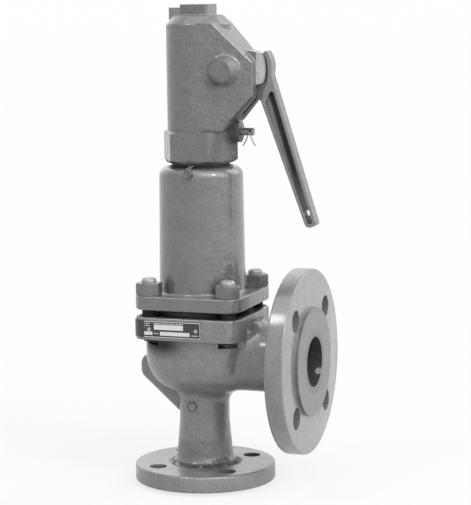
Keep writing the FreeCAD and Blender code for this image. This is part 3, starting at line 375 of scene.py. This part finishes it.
def outlet_shade_and_dirt(place):
    """Painted shade in the outlet's bore, with dirt on its raised face and round its mouth."""
    x = place.x
    bore = in_outlet_bore(place) * x.between(throat_plane, throat_plane + 2 * MM) * (1 - bore_glint(place))
    raised = x.between(outlet_flange_front + 0.3 * MM, outlet_flange_front + 0.8 * MM)
    mouth = x.between(outlet_face - 0.6 * MM, outlet_face - 0.3 * MM)
    mouth = mouth * (1 - from_outlet_axis(place).between(25 * MM, 31 * MM))
    return (bore * bore_shade).most(raised * raised_dirt).most(mouth * mouth_dirt)


def neck_shade_and_marks(place):
    """Painted shade in the crease round the neck's foot, a dark ring round the foundry pad, and darker on the
    neck's lower length.
    """
    z = place.z
    radius = from_spindle_axis(place)
    foot = radius.band(neck_foot_radius, neck_foot_radius + 2.0 * MM, 3.0 * MM)
    foot = foot * z.band(15 * MM, 22 * MM, 1 * MM) * place.grain(5 * MM, 3.0).between(0.3, 0.5)
    pad = place.away(foundry_pad).band(pad_ring + 0.6 * MM, pad_ring + 1.2 * MM, 0.6 * MM)
    neck = z.band(20 * MM, neck_line, 0.8 * MM) * (1 - radius.between(25 * MM, 28 * MM))
    return (foot * foot_crease_shade).most(pad * pad_ring_dark).most(neck * neck_lower_dark)


def body_dirt_and_shade(place):
    """Painted shade in the joint and under the square's left front corner, with the outlet's and the neck's
    marks.
    """
    z = place.z
    joint = within_joint(place) * z.between(square_top - 2.5 * MM, square_top - 1.5 * MM)
    under = z.between(square_low - 20 * MM, square_low - 4 * MM)
    under = under * (1 - z.between(square_low - 0.1 * MM, square_low))
    under = under * (1 - place.x.between(-20 * MM, 10 * MM))
    under = under * (1 - place.y.between(-30 * MM, -14 * MM))
    return joint.most(under).most(outlet_shade_and_dirt(place)).most(neck_shade_and_marks(place))


body_enamel = enamel(
    "body enamel", lump=10 * MM, depth=1.6 * MM, sand=0.07 * MM, tone=1.14,
    smooth=turned_faces, relief=body_relief, darkening=body_dirt_and_shade, paling=bore_glint)
finished_copy("body", "body_casting", "root", body_enamel)


# Bonnet casting: the spring housing, with a square foot and a threaded neck.
# It has the same foundry skin and enamel as the body, a little finer.

bonnet_joint_top = 147.3 * MM
bonnet_shoulder = 260.5 * MM
bonnet_neck_radius = 23.5 * MM


def bonnet_joint_neck_shade(place):
    """Painted shade in the joint and round the neck."""
    z = place.z
    joint = within_joint(place) * (1 - z.between(bonnet_joint_top + 0.1 * MM, bonnet_joint_top + 0.4 * MM))
    near_neck = 1 - from_spindle_axis(place).between(bonnet_neck_radius + 1 * MM, bonnet_neck_radius + 4 * MM)
    return joint.most(near_neck * z.between(bonnet_shoulder - 0.5 * MM, bonnet_shoulder) * 0.9)


bonnet_enamel = enamel(
    "bonnet enamel", lump=13 * MM, depth=1.0 * MM, sand=0.09 * MM, tone=0.79, haze=0.13, darkening=bonnet_joint_neck_shade)
finished_copy("bonnet", "bonnet_casting", "root", bonnet_enamel)


# Cap casting: hexagon foot, barrel, lever housing and stub, screwed on the bonnet.
# The roughest casting of the valve: the enamel shines on its lumps.

cap_foot = 264 * MM
foot_top = 286 * MM
screw_boss = (31 * MM, -4 * MM, 286 * MM)
heel_start = (34 * MM, 0.0, 299.5 * MM)
heel_slope = (0.747, 0.0, -0.664)
pin_boss_low = (21 * MM, -26 * MM, 329 * MM)
nose_root = 50.3 * MM
nose_low = 322 * MM
chamfer_dark = 0.7
corner_dark = 0.6
boss_shade = 0.75
heel_shade = 0.8
pin_boss_shade = 0.45


def hexagon_shade_and_marks(place):
    """Painted shade under the hexagon, with darker patches on its lower chamfer and its right corner."""
    z = place.z
    under = 1 - z.between(cap_foot + 0.2 * MM, cap_foot + 0.8 * MM)
    ragged = z + place.grain(5 * MM, 3.0) * (3 * MM)
    chamfer = 1 - ragged.between(cap_foot + 2.5 * MM, cap_foot + 4.5 * MM)
    corner = place.x.between(23 * MM, 31 * MM) * (1 - z.between(foot_top, foot_top + 5 * MM))
    corner = corner * place.grain(6 * MM, 3.0).between(0.3, 0.55)
    return under.most(chamfer * chamfer_dark).most(corner * corner_dark)


def cap_shade_and_marks(place):
    """The hexagon's marks, with painted shade round the screw's boss, under the heel and under the pin's
    boss.
    """
    boss = 1 - place.away(screw_boss).between(5 * MM, 15 * MM)
    heel = place.along(heel_start, heel_slope).between(-1.6 * MM, -0.4 * MM)
    heel = heel * place.z.band(298 * MM, 316 * MM, 2 * MM)
    pin = 1 - place.away(pin_boss_low).between(3 * MM, 9 * MM)
    return hexagon_shade_and_marks(place).most(boss * boss_shade).most(heel * heel_shade).most(pin * pin_boss_shade)


def nose_painted_light(place):
    """Painted light: the nose's face toward the outlet made pale, as a face lit from that side."""
    ahead = place.x.between(nose_root, nose_root + 1 * MM)
    return ahead * place.z.between(nose_low, nose_low + 4 * MM)


cap_enamel = enamel(
    "cap enamel", lump=8 * MM, depth=1.5 * MM, sand=0.24 * MM, tone=0.72, haze=0.18,
    darkening=cap_shade_and_marks, paling=nose_painted_light)
finished_copy("cap", "cap_casting", "root", cap_enamel, edge=0.7 * MM)


# Studs and nuts of the square joint: turned steel, painted with the valve.
# The enamel carries painted shade in the joint and is paler on the studs' rounded ends.

stud_pale_from = 166 * MM


def stud_joint_shade(place):
    """Painted shade on the length that shows inside the joint."""
    return 1 - place.z.between(bonnet_joint_top, bonnet_joint_top + 1 * MM)


def stud_pale_ends(place):
    """Pale on the ends."""
    return place.z.between(stud_pale_from, stud_pale_from + 3 * MM) * 0.5


stud_enamel = enamel(
    "stud enamel", lump=5 * MM, depth=0.15 * MM, sand=0.03 * MM, darkening=stud_joint_shade, paling=stud_pale_ends)
nut_enamel = enamel("nut enamel", lump=5 * MM, depth=0.25 * MM, sand=0.04 * MM, tone=0.68)
finished_copy("bonnet_studs", "stud_set", "root", stud_enamel, edge=0.3 * MM)
finished_copy("bonnet_nuts", "nut_set", "root", nut_enamel, edge=0.35 * MM)


# Cap locking screw and the plug of the fulcrum pin's bore: small turned steel pieces,
# screwed and driven into the cap and painted with it.

finished_copy("cap_locking_screw", "locking_screw", "root", nut_enamel, edge=0.3 * MM)
finished_copy("fulcrum_plug", "pin_plug", "root", nut_enamel, edge=0.2 * MM)


# Lever: a malleable casting of I-section, hooked over the housing's nose.
# Its enamel is smoother than that of the grey iron pieces, and painted shade darkens its pockets.

lever_rim_side = 4.6 * MM
lever_pocket_side = 2.2 * MM
groove_start = (60.3 * MM, 0.0, 323 * MM)
groove_tilt = math.radians(16.5)
groove_across = (math.cos(groove_tilt), 0.0, math.sin(groove_tilt))
hole_end = 225 * MM
pocket_shade = 0.2
middle_shade = 0.3
upper_shade = 0.5


def lever_pocket_shade(place):
    """Painted shade in the pocket on each side of the web, darkest along its middle and above the hole."""
    pocket = 1 - abs(place.y).between(lever_pocket_side, lever_rim_side)
    middle = 1 - abs(place.along(groove_start, groove_across)).between(1.2 * MM, 3.8 * MM)
    above_hole = place.z.between(hole_end, hole_end + 40 * MM)
    return pocket * (pocket_shade + middle * (middle_shade + above_hole * upper_shade))


lever_enamel = enamel(
    "lever enamel", lump=7 * MM, depth=0.5 * MM, sand=0.06 * MM, tone=1.1, darkening=lever_pocket_shade)
finished_copy("lever", "lever_casting", "lever", lever_enamel, edge=0.4 * MM)


# Inner metal pieces, all turned: stainless steel for the seat, disc, ball, spindle and
# fulcrum pin, a guide plate of it coloured near black as painted shade of the joint, with a bronze bush, and
# plain steel for the rest.

tool_feed = 0.5 * MM


def metal(name, dark, light, rough, streak):
    """Bare turned metal with faint tool marks that run round the spindle."""
    material, shader, place = new_finish(name, Metallic=1.0)
    shade = place.grain(3 * MM, 4.0)
    marks = (place.z * (math.tau / tool_feed)).sine()
    height = marks * streak + shade * (4 * streak)
    join_finish(shader, shade.tint(dark, light), rough + shade * 0.2, height)
    return material


def dress(material, slot, *nodes):
    """Give solids their finish as they are."""
    for name in nodes:
        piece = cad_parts[name]
        piece.data.materials.clear()
        piece.data.materials.append(material)


stainless = metal("stainless steel", (0.50, 0.50, 0.49), (0.66, 0.65, 0.63), 0.22, 0.002 * MM)
plain_steel = metal("turned steel", (0.33, 0.33, 0.33), (0.48, 0.47, 0.46), 0.30, 0.003 * MM)
bush_bronze = metal("guide bronze", (0.42, 0.26, 0.11), (0.58, 0.38, 0.18), 0.30, 0.002 * MM)
# The guide plate's near black is painted shade: only its rim shows, inside the joint.
guide_plate_shade_black = metal("guide plate shade black", (0.018, 0.018, 0.018), (0.045, 0.045, 0.045), 0.45, 0.003 * MM)
dress(stainless, "stainless_steel", "seat_ring", "disc", "disc_ball", "spindle", "fulcrum_pin")
dress(plain_steel, "turned_steel", "disc_retaining_ring", "lower_spring_plate", "upper_spring_plate",
      "setting_screw", "setting_lock_nut", "lift_fork", "fork_rivet", "lift_collar", "collar_nut")
dress(guide_plate_shade_black, "stainless_steel", "guide_plate")
dress(bush_bronze, "bronze", "guide_bush")


# Spring: round steel wire coiled hot, with its end coils closed and ground flat.
# In the valve its lower end rises with the spindle while its upper end stays on the upper plate; here the
# coil keeps its rest shape.

end_coil = 9 * MM
spring_low, spring_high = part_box("spring")
black_spring = metal("spring steel", (0.06, 0.06, 0.065), (0.12, 0.12, 0.125), 0.40, 0.002 * MM)
coil = merged_copy("spring", "coil_spring", black_spring)
spring_low.z + end_coil
spring_high.z - end_coil
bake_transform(coil)


# Gaskets: rings cut from graphited fibre sheet, one on each side of the guide plate
# and one under the cap, all squeezed flat by the joints that they seal.

def gasket_fibre():
    """Graphited fibre, nearly black, with a speckle."""
    material, shader, place = new_finish("gasket fibre")
    speck = place.grain(0.8 * MM, 3.0)
    colour = speck.tint((0.02, 0.02, 0.02), (0.06, 0.058, 0.055))
    join_finish(shader, colour, 0.75 + speck * 0.2, speck * (0.03 * MM))
    return material


dress(gasket_fibre(), "gasket_fibre", "body_gasket", "bonnet_gasket", "cap_gasket")


# Split pin: one length of zinc-plated wire doubled back on itself, with an eye
# behind the locking screw and two legs bent apart in front of it. Its sizes are in
# millimetres, as are those of the sealing wire and the nameplate.

def wire_tree(name, strands):
    """Node tree that lays round wire along a curve; two strands run round each other."""
    tree = bpy.data.node_groups.new(name, "GeometryNodeTree")
    wanted = [
        ("Path", "NodeSocketGeometry"),
        ("Wire Diameter", "NodeSocketFloat"),
        ("Twist Length", "NodeSocketFloat"),
        ("Step", "NodeSocketFloat"),
        ("Finish", "NodeSocketMaterial"),
    ]
    keys = {}
    for label, kind in wanted:
        keys[label] = tree.interface.new_socket(label, in_out="INPUT", socket_type=kind).identifier
    tree.interface.new_socket("Wire", in_out="OUTPUT", socket_type="NodeSocketGeometry")
    entry = tree.nodes.new("NodeGroupInput")
    given = {label: Field(tree, entry.outputs[label]) for label, kind in wanted}
    path = given["Path"].node(
        "GeometryNodeResampleCurve", {"mode": "LENGTH"}, {"Curve": given["Path"], "Length": given["Step"]})
    along = path.node("GeometryNodeSplineParameter", {}, {}, 1)
    normal = path.node("GeometryNodeInputNormal", {}, {})
    tangent = path.node("GeometryNodeInputTangent", {}, {})
    side = normal.vector("CROSS_PRODUCT", normal, tangent)
    radius = given["Wire Diameter"] * 0.5
    profile = path.node("GeometryNodeCurvePrimitiveCircle", {}, {"Resolution": 10, "Radius": radius})
    joined = tree.nodes.new("GeometryNodeJoinGeometry")
    for strand in range(strands):
        turn = along * math.tau / given["Twist Length"] + strand * math.pi
        throw = radius * (strands - 1)
        out = normal.times(turn.cosine() * throw)
        over = side.times(turn.sine() * throw)
        laid = path.node(
            "GeometryNodeSetPosition", {}, {"Geometry": path, "Offset": out.vector("ADD", out, over)})
        wire = laid.node(
            "GeometryNodeCurveToMesh", {}, {"Curve": laid, "Profile Curve": profile, "Fill Caps": True})
        tree.links.new(wire.socket, joined.inputs[0])
    whole = Field(tree, joined.outputs[0])
    whole = whole.node("GeometryNodeSetShadeSmooth", {}, {0: whole})
    whole = whole.node("GeometryNodeRealizeInstances", {}, {0: whole})
    whole = whole.node("GeometryNodeSetMaterial", {}, {"Geometry": whole, "Material": given["Finish"]})
    leave = tree.nodes.new("NodeGroupOutput")
    tree.links.new(whole.socket, leave.inputs[0])
    return tree, keys


def bent_path(name, points, closed=False):
    """Smooth curve through points given in millimetres."""
    data = bpy.data.curves.new(name + "_path", "CURVE")
    data.dimensions = "3D"
    spline = data.splines.new("BEZIER")
    spline.bezier_points.add(len(points) - 1)
    spline.use_cyclic_u = closed
    spline.resolution_u = 12
    for knot, point in zip(spline.bezier_points, points):
        knot.co = Vector(point) * MM
        knot.handle_left_type = "AUTO"
        knot.handle_right_type = "AUTO"
    return in_scene(name + "_path", data)


def made_plain(source, tree, values, name):
    """Run a node tree on an object and keep the result as a plain mesh."""
    group, keys = tree
    modifier = source.modifiers.new("made", "NODES")
    modifier.node_group = group
    for label, value in values.items():
        modifier[keys[label]] = value
    source.update_tag()
    seen = source.evaluated_get(bpy.context.evaluated_depsgraph_get())
    mesh = bpy.data.meshes.new_from_object(seen)
    mesh.name = name
    mesh.materials.clear()
    mesh.materials.append(values["Finish"])
    bpy.data.objects.remove(source)
    return in_scene(name, mesh)


def mesh_of(shape, name, material):
    """Mesh of a finished shape, with its material."""
    mesh = bpy.data.meshes.new(name)
    shape.to_mesh(mesh)
    shape.free()
    mesh.materials.append(material)
    return mesh


def joined_pieces(pieces, name):
    """Several meshes of one finish as one piece."""
    shape = bmesh.new()
    for piece in pieces:
        shape.from_mesh(piece.data)
    mesh = mesh_of(shape, name, pieces[0].data.materials[0])
    mesh.shade_smooth()
    for piece in pieces:
        bpy.data.objects.remove(piece)
    return in_scene(name, mesh)


pin_x = 43.0
pin_z = 288.5
pin_wire = 1.0
pin_hole_half = 3.1
pin_eye_radius = 2.2
pin_leg = 12.0
pin_spread = 24


def split_pin_points():
    """Points of the doubled wire, from one leg's end round the eye to the other's."""
    half = pin_wire / 2
    front = -pin_hole_half - pin_wire
    back = pin_hole_half + pin_wire
    one_side = []
    for share in (1.0, 0.8, 0.6, 0.4, 0.2):
        turn = math.radians(pin_spread * (0.45 + 0.55 * share))
        length = pin_leg * share
        one_side.append((half + length * math.sin(turn), front, pin_z - length * math.cos(turn)))
    one_side += [(half, front + 0.2, pin_z - 0.6), (half, front + 1.2, pin_z), (half, back, pin_z)]
    eye = []
    for degrees in range(-150, 151, 30):
        turn = math.radians(degrees)
        behind = back + pin_eye_radius * (1 + math.cos(turn))
        eye.append((-half * degrees / 150, behind, pin_z + pin_eye_radius * math.sin(turn)))
    left = [(pin_x - x, y, z) for x, y, z in one_side + eye]
    right = [(pin_x + x, y, z) for x, y, z in reversed(one_side)]
    return left + right


zinc = metal("split pin zinc", (0.16, 0.16, 0.155), (0.34, 0.335, 0.33), 0.40, 0.002 * MM)
single_wire = wire_tree("single wire", 1)
pin_values = {"Wire Diameter": pin_wire * MM, "Twist Length": 1.0, "Step": 0.35 * MM, "Finish": zinc}
pin = made_plain(bent_path("split_pin", split_pin_points()), single_wire, pin_values, "split_pin_wire")
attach(pin, "root")
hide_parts("split_pin")


# Sealing wire: two thin strands twisted together, looped round the neck and led
# over the shoulder through the lead seal. The seal is a pressed disc of soft lead.

loop_radius = 24.4
loop_z = 263.5
strand_x = (0.8, 3.2)
seal_y = -35.7
wire_end_z = 251.6
wire_thick = 0.5
wire_twist = 2.4


def seal_wire():
    """The loop and its two ends, as one piece."""
    values = {
        "Wire Diameter": wire_thick * MM,
        "Twist Length": wire_twist * MM,
        "Step": 0.25 * MM,
        "Finish": metal("sealing wire", (0.16, 0.16, 0.155), (0.40, 0.39, 0.38), 0.40, 0.002 * MM),
    }
    tree = wire_tree("twisted wire", 2)
    circle = []
    for degrees in range(0, 360, 15):
        turn = math.radians(degrees)
        circle.append((loop_radius * math.sin(turn), -loop_radius * math.cos(turn), loop_z))
    pieces = [made_plain(bent_path("loop", circle, True), tree, values, "loop")]
    for x in strand_x:
        route = [
            (x, -loop_radius, loop_z),
            (x, -28, 262.6),
            (x, -32.5, 261.4),
            (x, -34.9, 260.4),
            (x, seal_y, 258.6),
            (x, seal_y, 256.0),
            (x, seal_y, 253.4),
            (x, seal_y, wire_end_z),
        ]
        pieces.append(made_plain(bent_path("end", route), tree, values, "end"))
    wire = joined_pieces(pieces, "twisted_seal_wire")
    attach(wire, "root")
    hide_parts("seal_wire")


seal_rim = 0.9 * MM
seal_dish = 0.35 * MM


def lead_seal():
    """Pressed disc with a raised rim on both faces."""
    low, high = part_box("lead_seal")
    centre = (low + high) / 2
    radius = (high.x - low.x) / 2
    half = (high.y - low.y) / 2
    profile = [
        (0, half - seal_dish),
        (radius - 1.8 * seal_rim, half - seal_dish),
        (radius - seal_rim, half),
        (radius - 0.4 * seal_rim, half),
        (radius, half - 0.4 * seal_rim),
        (radius, 0.4 * seal_rim - half),
        (radius - 0.4 * seal_rim, -half),
        (radius - seal_rim, -half),
        (radius - 1.8 * seal_rim, seal_dish - half),
        (0, seal_dish - half),
    ]
    shape = bmesh.new()
    line = [shape.verts.new((r, y, 0)) for r, y in profile]
    edges = [shape.edges.new(pair) for pair in zip(line, line[1:])]
    bmesh.ops.spin(
        shape, geom=line + edges, cent=(0, 0, 0), axis=(0, 1, 0), angle=math.tau, steps=40, use_merge=True)
    bmesh.ops.remove_doubles(shape, verts=shape.verts, dist=0.001 * MM)
    bmesh.ops.recalc_face_normals(shape, faces=shape.faces)
    bmesh.ops.translate(shape, verts=shape.verts, vec=centre)
    lead = metal("seal lead", (0.10, 0.10, 0.102), (0.22, 0.22, 0.223), 0.50, 0.003 * MM)
    mesh = mesh_of(shape, "pressed_seal", lead)
    mesh.shade_smooth()
    mesh.set_sharp_from_angle(angle=math.radians(30))
    piece = in_scene("pressed_seal", mesh)
    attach(piece, "root")
    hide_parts("lead_seal")


seal_wire()
lead_seal()


# Nameplate: black printed aluminium, bent round the square's corner and riveted on.
# Pale fields, a border and rows of short dashes stand where the print was; no writing.

plate_front = -45.6
plate_right = 14.6
plate_bend_x = -32.5
plate_bend_y = -32.5
plate_bend_radius = 13.1
plate_length = 59.2
plate_low = 125.8
plate_high = 139.2
print_thick = 0.05
dash_length = 0.9
dash_growth = 0.55
dash_height = 0.7
dash_gap = 0.7


def plate_black():
    """Black print on the plate, a little worn."""
    material, shader, place = new_finish("plate black", Coat_Weight=0.3, Coat_Roughness=0.2)
    wear = place.grain(4 * MM, 4.0)
    join_finish(shader, wear.tint((0.012, 0.012, 0.013), (0.035, 0.035, 0.037)), 0.35 + wear * 0.2)
    return material


def pale_print():
    """Bare brushed aluminium that the black print leaves open."""
    material, shader, place = new_finish("plate fields", Metallic=0.25)
    shade = place.grain(2.5 * MM, 4.0)
    join_finish(shader, shade.tint((0.60, 0.60, 0.59), (0.78, 0.78, 0.77)), 0.38 + shade * 0.2)
    return material


def on_plate(along, proud):
    """Point of the plate's face at a distance from its right end, in millimetres."""
    straight = plate_right - plate_bend_x
    if along <= straight:
        return plate_right - along, plate_front - proud
    turn = (along - straight) / plate_bend_radius
    radius = plate_bend_radius + proud
    return plate_bend_x - radius * math.sin(turn), plate_bend_y - radius * math.cos(turn)


def add_patch(shape, start, end, low, high):
    """Thin closed patch on the plate, bent with it."""
    steps = max(1, round(abs(end - start)))
    columns = []
    for step in range(steps + 1):
        along = start + (end - start) * step / steps
        column = []
        for proud, z in ((print_thick, low), (print_thick, high), (-print_thick, high), (-print_thick, low)):
            x, y = on_plate(along, proud)
            column.append(shape.verts.new((x * MM, y * MM, z * MM)))
        columns.append(column)
    for first, last in zip(columns, columns[1:]):
        for corner in range(4):
            after = (corner + 1) % 4
            shape.faces.new((first[corner], first[after], last[after], last[corner]))
    shape.faces.new(columns[0][::-1])
    shape.faces.new(columns[-1])


def plate_print():
    """Border, three fields and rows of dashes as one thin piece."""
    line = 0.5
    start, end = 0.3, plate_length - 0.3
    low, high = plate_low + 0.2, plate_high - 0.2
    border = [
        (start, end, high - line, high),
        (start, end, low, low + line),
        (start, start + line, low + line, high - line),
        (end - line, end, low + line, high - line),
    ]
    fields = [(15.0, 40.0, 132.3, 136.4), (41.3, 51.2, 127.8, 130.6), (9.5, 34.8, 127.7, 130.8)]
    rows = [(15.0, 40.0, 137.3), (43.5, 56.0, 137.2), (43.5, 56.0, 135.4), (48.0, 56.0, 133.6),
            (36.3, 40.2, 129.2), (2.2, 8.2, 128.6), (52.6, 57.0, 129.2)]
    dashes = []
    for along, stop, z in rows:
        count = 0
        while along < stop:
            length = dash_length + dash_growth * ((count * 5) % 3)
            dashes.append((along, min(along + length, stop), z - dash_height / 2, z + dash_height / 2))
            along += length + dash_gap
            count += 1
    shape = bmesh.new()
    for patch in border + fields + dashes:
        add_patch(shape, *patch)
    bmesh.ops.recalc_face_normals(shape, faces=shape.faces)
    piece = in_scene("nameplate_print", mesh_of(shape, "nameplate_print", pale_print()))
    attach(piece, "root")


dress(plate_black(), "plate_black", "nameplate")
dress(plain_steel, "turned_steel", "nameplate_rivets")
plate_print()


# Studio: a wide pale floor, broad soft lights and white surroundings.
# The camera stands where the photograph was taken from.

def pale_floor():
    """Wide floor, nearly white to the camera and still taking the valve's shadow."""
    reach = 60.0
    depth = -0.5 * MM
    glow_share = 0.78
    corners = [(-reach, -reach, depth), (reach, -reach, depth), (reach, reach, depth), (-reach, reach, depth)]
    mesh = bpy.data.meshes.new("studio_floor")
    mesh.from_pydata(corners, [], [(0, 1, 2, 3)])
    floor = in_scene("studio_floor", mesh)
    material, shader, place = new_finish("studio floor", Base_Color=(0.86, 0.86, 0.86, 1.0), Roughness=0.9)
    tree = place.tree
    path = Field(tree, tree.nodes.new("ShaderNodeLightPath").outputs["Is Camera Ray"])
    glow = path.node("ShaderNodeEmission", {}, {"Strength": 1.0})
    lit = Field(tree, shader.outputs[0])
    mixed = path.node("ShaderNodeMixShader", {}, {0: path * glow_share, 1: lit, 2: glow})
    tree.links.new(mixed.socket, tree.nodes["Material Output"].inputs["Surface"])
    mesh.materials.append(material)


def soft_lamp(name, azimuth, elevation, spread, power):
    """Broad soft light from one side; spread is the angle that it seems to fill, in degrees."""
    light = bpy.data.lights.new(name, "SUN")
    light.angle = math.radians(spread)
    light.energy = power
    lamp = in_scene(name, light)
    turn = math.radians(azimuth)
    tilt = math.radians(elevation)
    away = Vector((math.sin(turn) * math.cos(tilt), -math.cos(turn) * math.cos(tilt), math.sin(tilt)))
    lamp.location = away * 2
    lamp.rotation_euler = away.to_track_quat("Z", "Y").to_euler()


def white_surroundings():
    """White to the camera and in reflections, and a soft grey fill on the valve."""
    world = bpy.data.worlds.new("studio")
    bpy.context.scene.world = world
    world.use_nodes = True
    tree = world.node_tree
    fill = tree.nodes["Background"]
    fill.inputs["Color"].default_value = (1, 1, 1, 1)
    fill.inputs["Strength"].default_value = 0.06
    white = tree.nodes.new("ShaderNodeBackground")
    white.inputs["Strength"].default_value = 1.0
    white.inputs["Color"].default_value = (1, 1, 1, 1)
    path = tree.nodes.new("ShaderNodeLightPath")
    seen = Field(tree, path.outputs["Is Camera Ray"])
    seen = seen.most(Field(tree, path.outputs["Is Glossy Ray"]))
    seen = seen.most(Field(tree, path.outputs["Is Transmission Ray"]))
    mix = tree.nodes.new("ShaderNodeMixShader")
    tree.links.new(seen.socket, mix.inputs[0])
    tree.links.new(fill.outputs[0], mix.inputs[1])
    tree.links.new(white.outputs[0], mix.inputs[2])
    tree.links.new(mix.outputs[0], tree.nodes["World Output"].inputs["Surface"])


def photo_camera():
    """Camera at the photograph's viewing angle: azimuth, height, distance and long lens."""
    azimuth = math.radians(20.615)
    elevation = math.radians(7.931)
    distance = 1676.97 * MM
    aim_height = 189.363 * MM
    roll = math.radians(-0.885)
    frame_height = 505
    focal_pixels = 2059.45
    sideways_pixels = 33.119
    back = Vector((
        math.sin(azimuth) * math.cos(elevation),
        -math.cos(azimuth) * math.cos(elevation),
        math.sin(elevation)))
    right = Vector((math.cos(azimuth), math.sin(azimuth), 0))
    up = back.cross(right)
    tilted_right = right * math.cos(roll) + up * math.sin(roll)
    tilted_up = up * math.cos(roll) - right * math.sin(roll)
    place = Vector((0, 0, aim_height)) + back * distance
    data = bpy.data.cameras.new("camera")
    data.sensor_width = 36
    data.lens = focal_pixels * data.sensor_width / frame_height
    data.shift_x = sideways_pixels / frame_height
    data.clip_end = 100
    camera = in_scene("camera", data)
    turn = Matrix((tilted_right, tilted_up, back)).transposed().to_4x4()
    camera.matrix_world = Matrix.Translation(place) @ turn
    bpy.context.scene.camera = camera


pale_floor()
soft_lamp("key", 60, 38, 60, 1.5)
soft_lamp("window", 60, 38, 12, 0.6)
soft_lamp("front", 25, 35, 50, 0.4)
soft_lamp("left box", -38, 56, 12, 0.4)
soft_lamp("top", 0, 80, 60, 0.75)
soft_lamp("rim", 140, 30, 40, 0.6)
soft_lamp("back", 225, 30, 50, 0.3)
soft_lamp("outlet side", 95, 15, 40, 0.5)
white_surroundings()
photo_camera()
bpy.context.scene.view_settings.view_transform = "Standard"
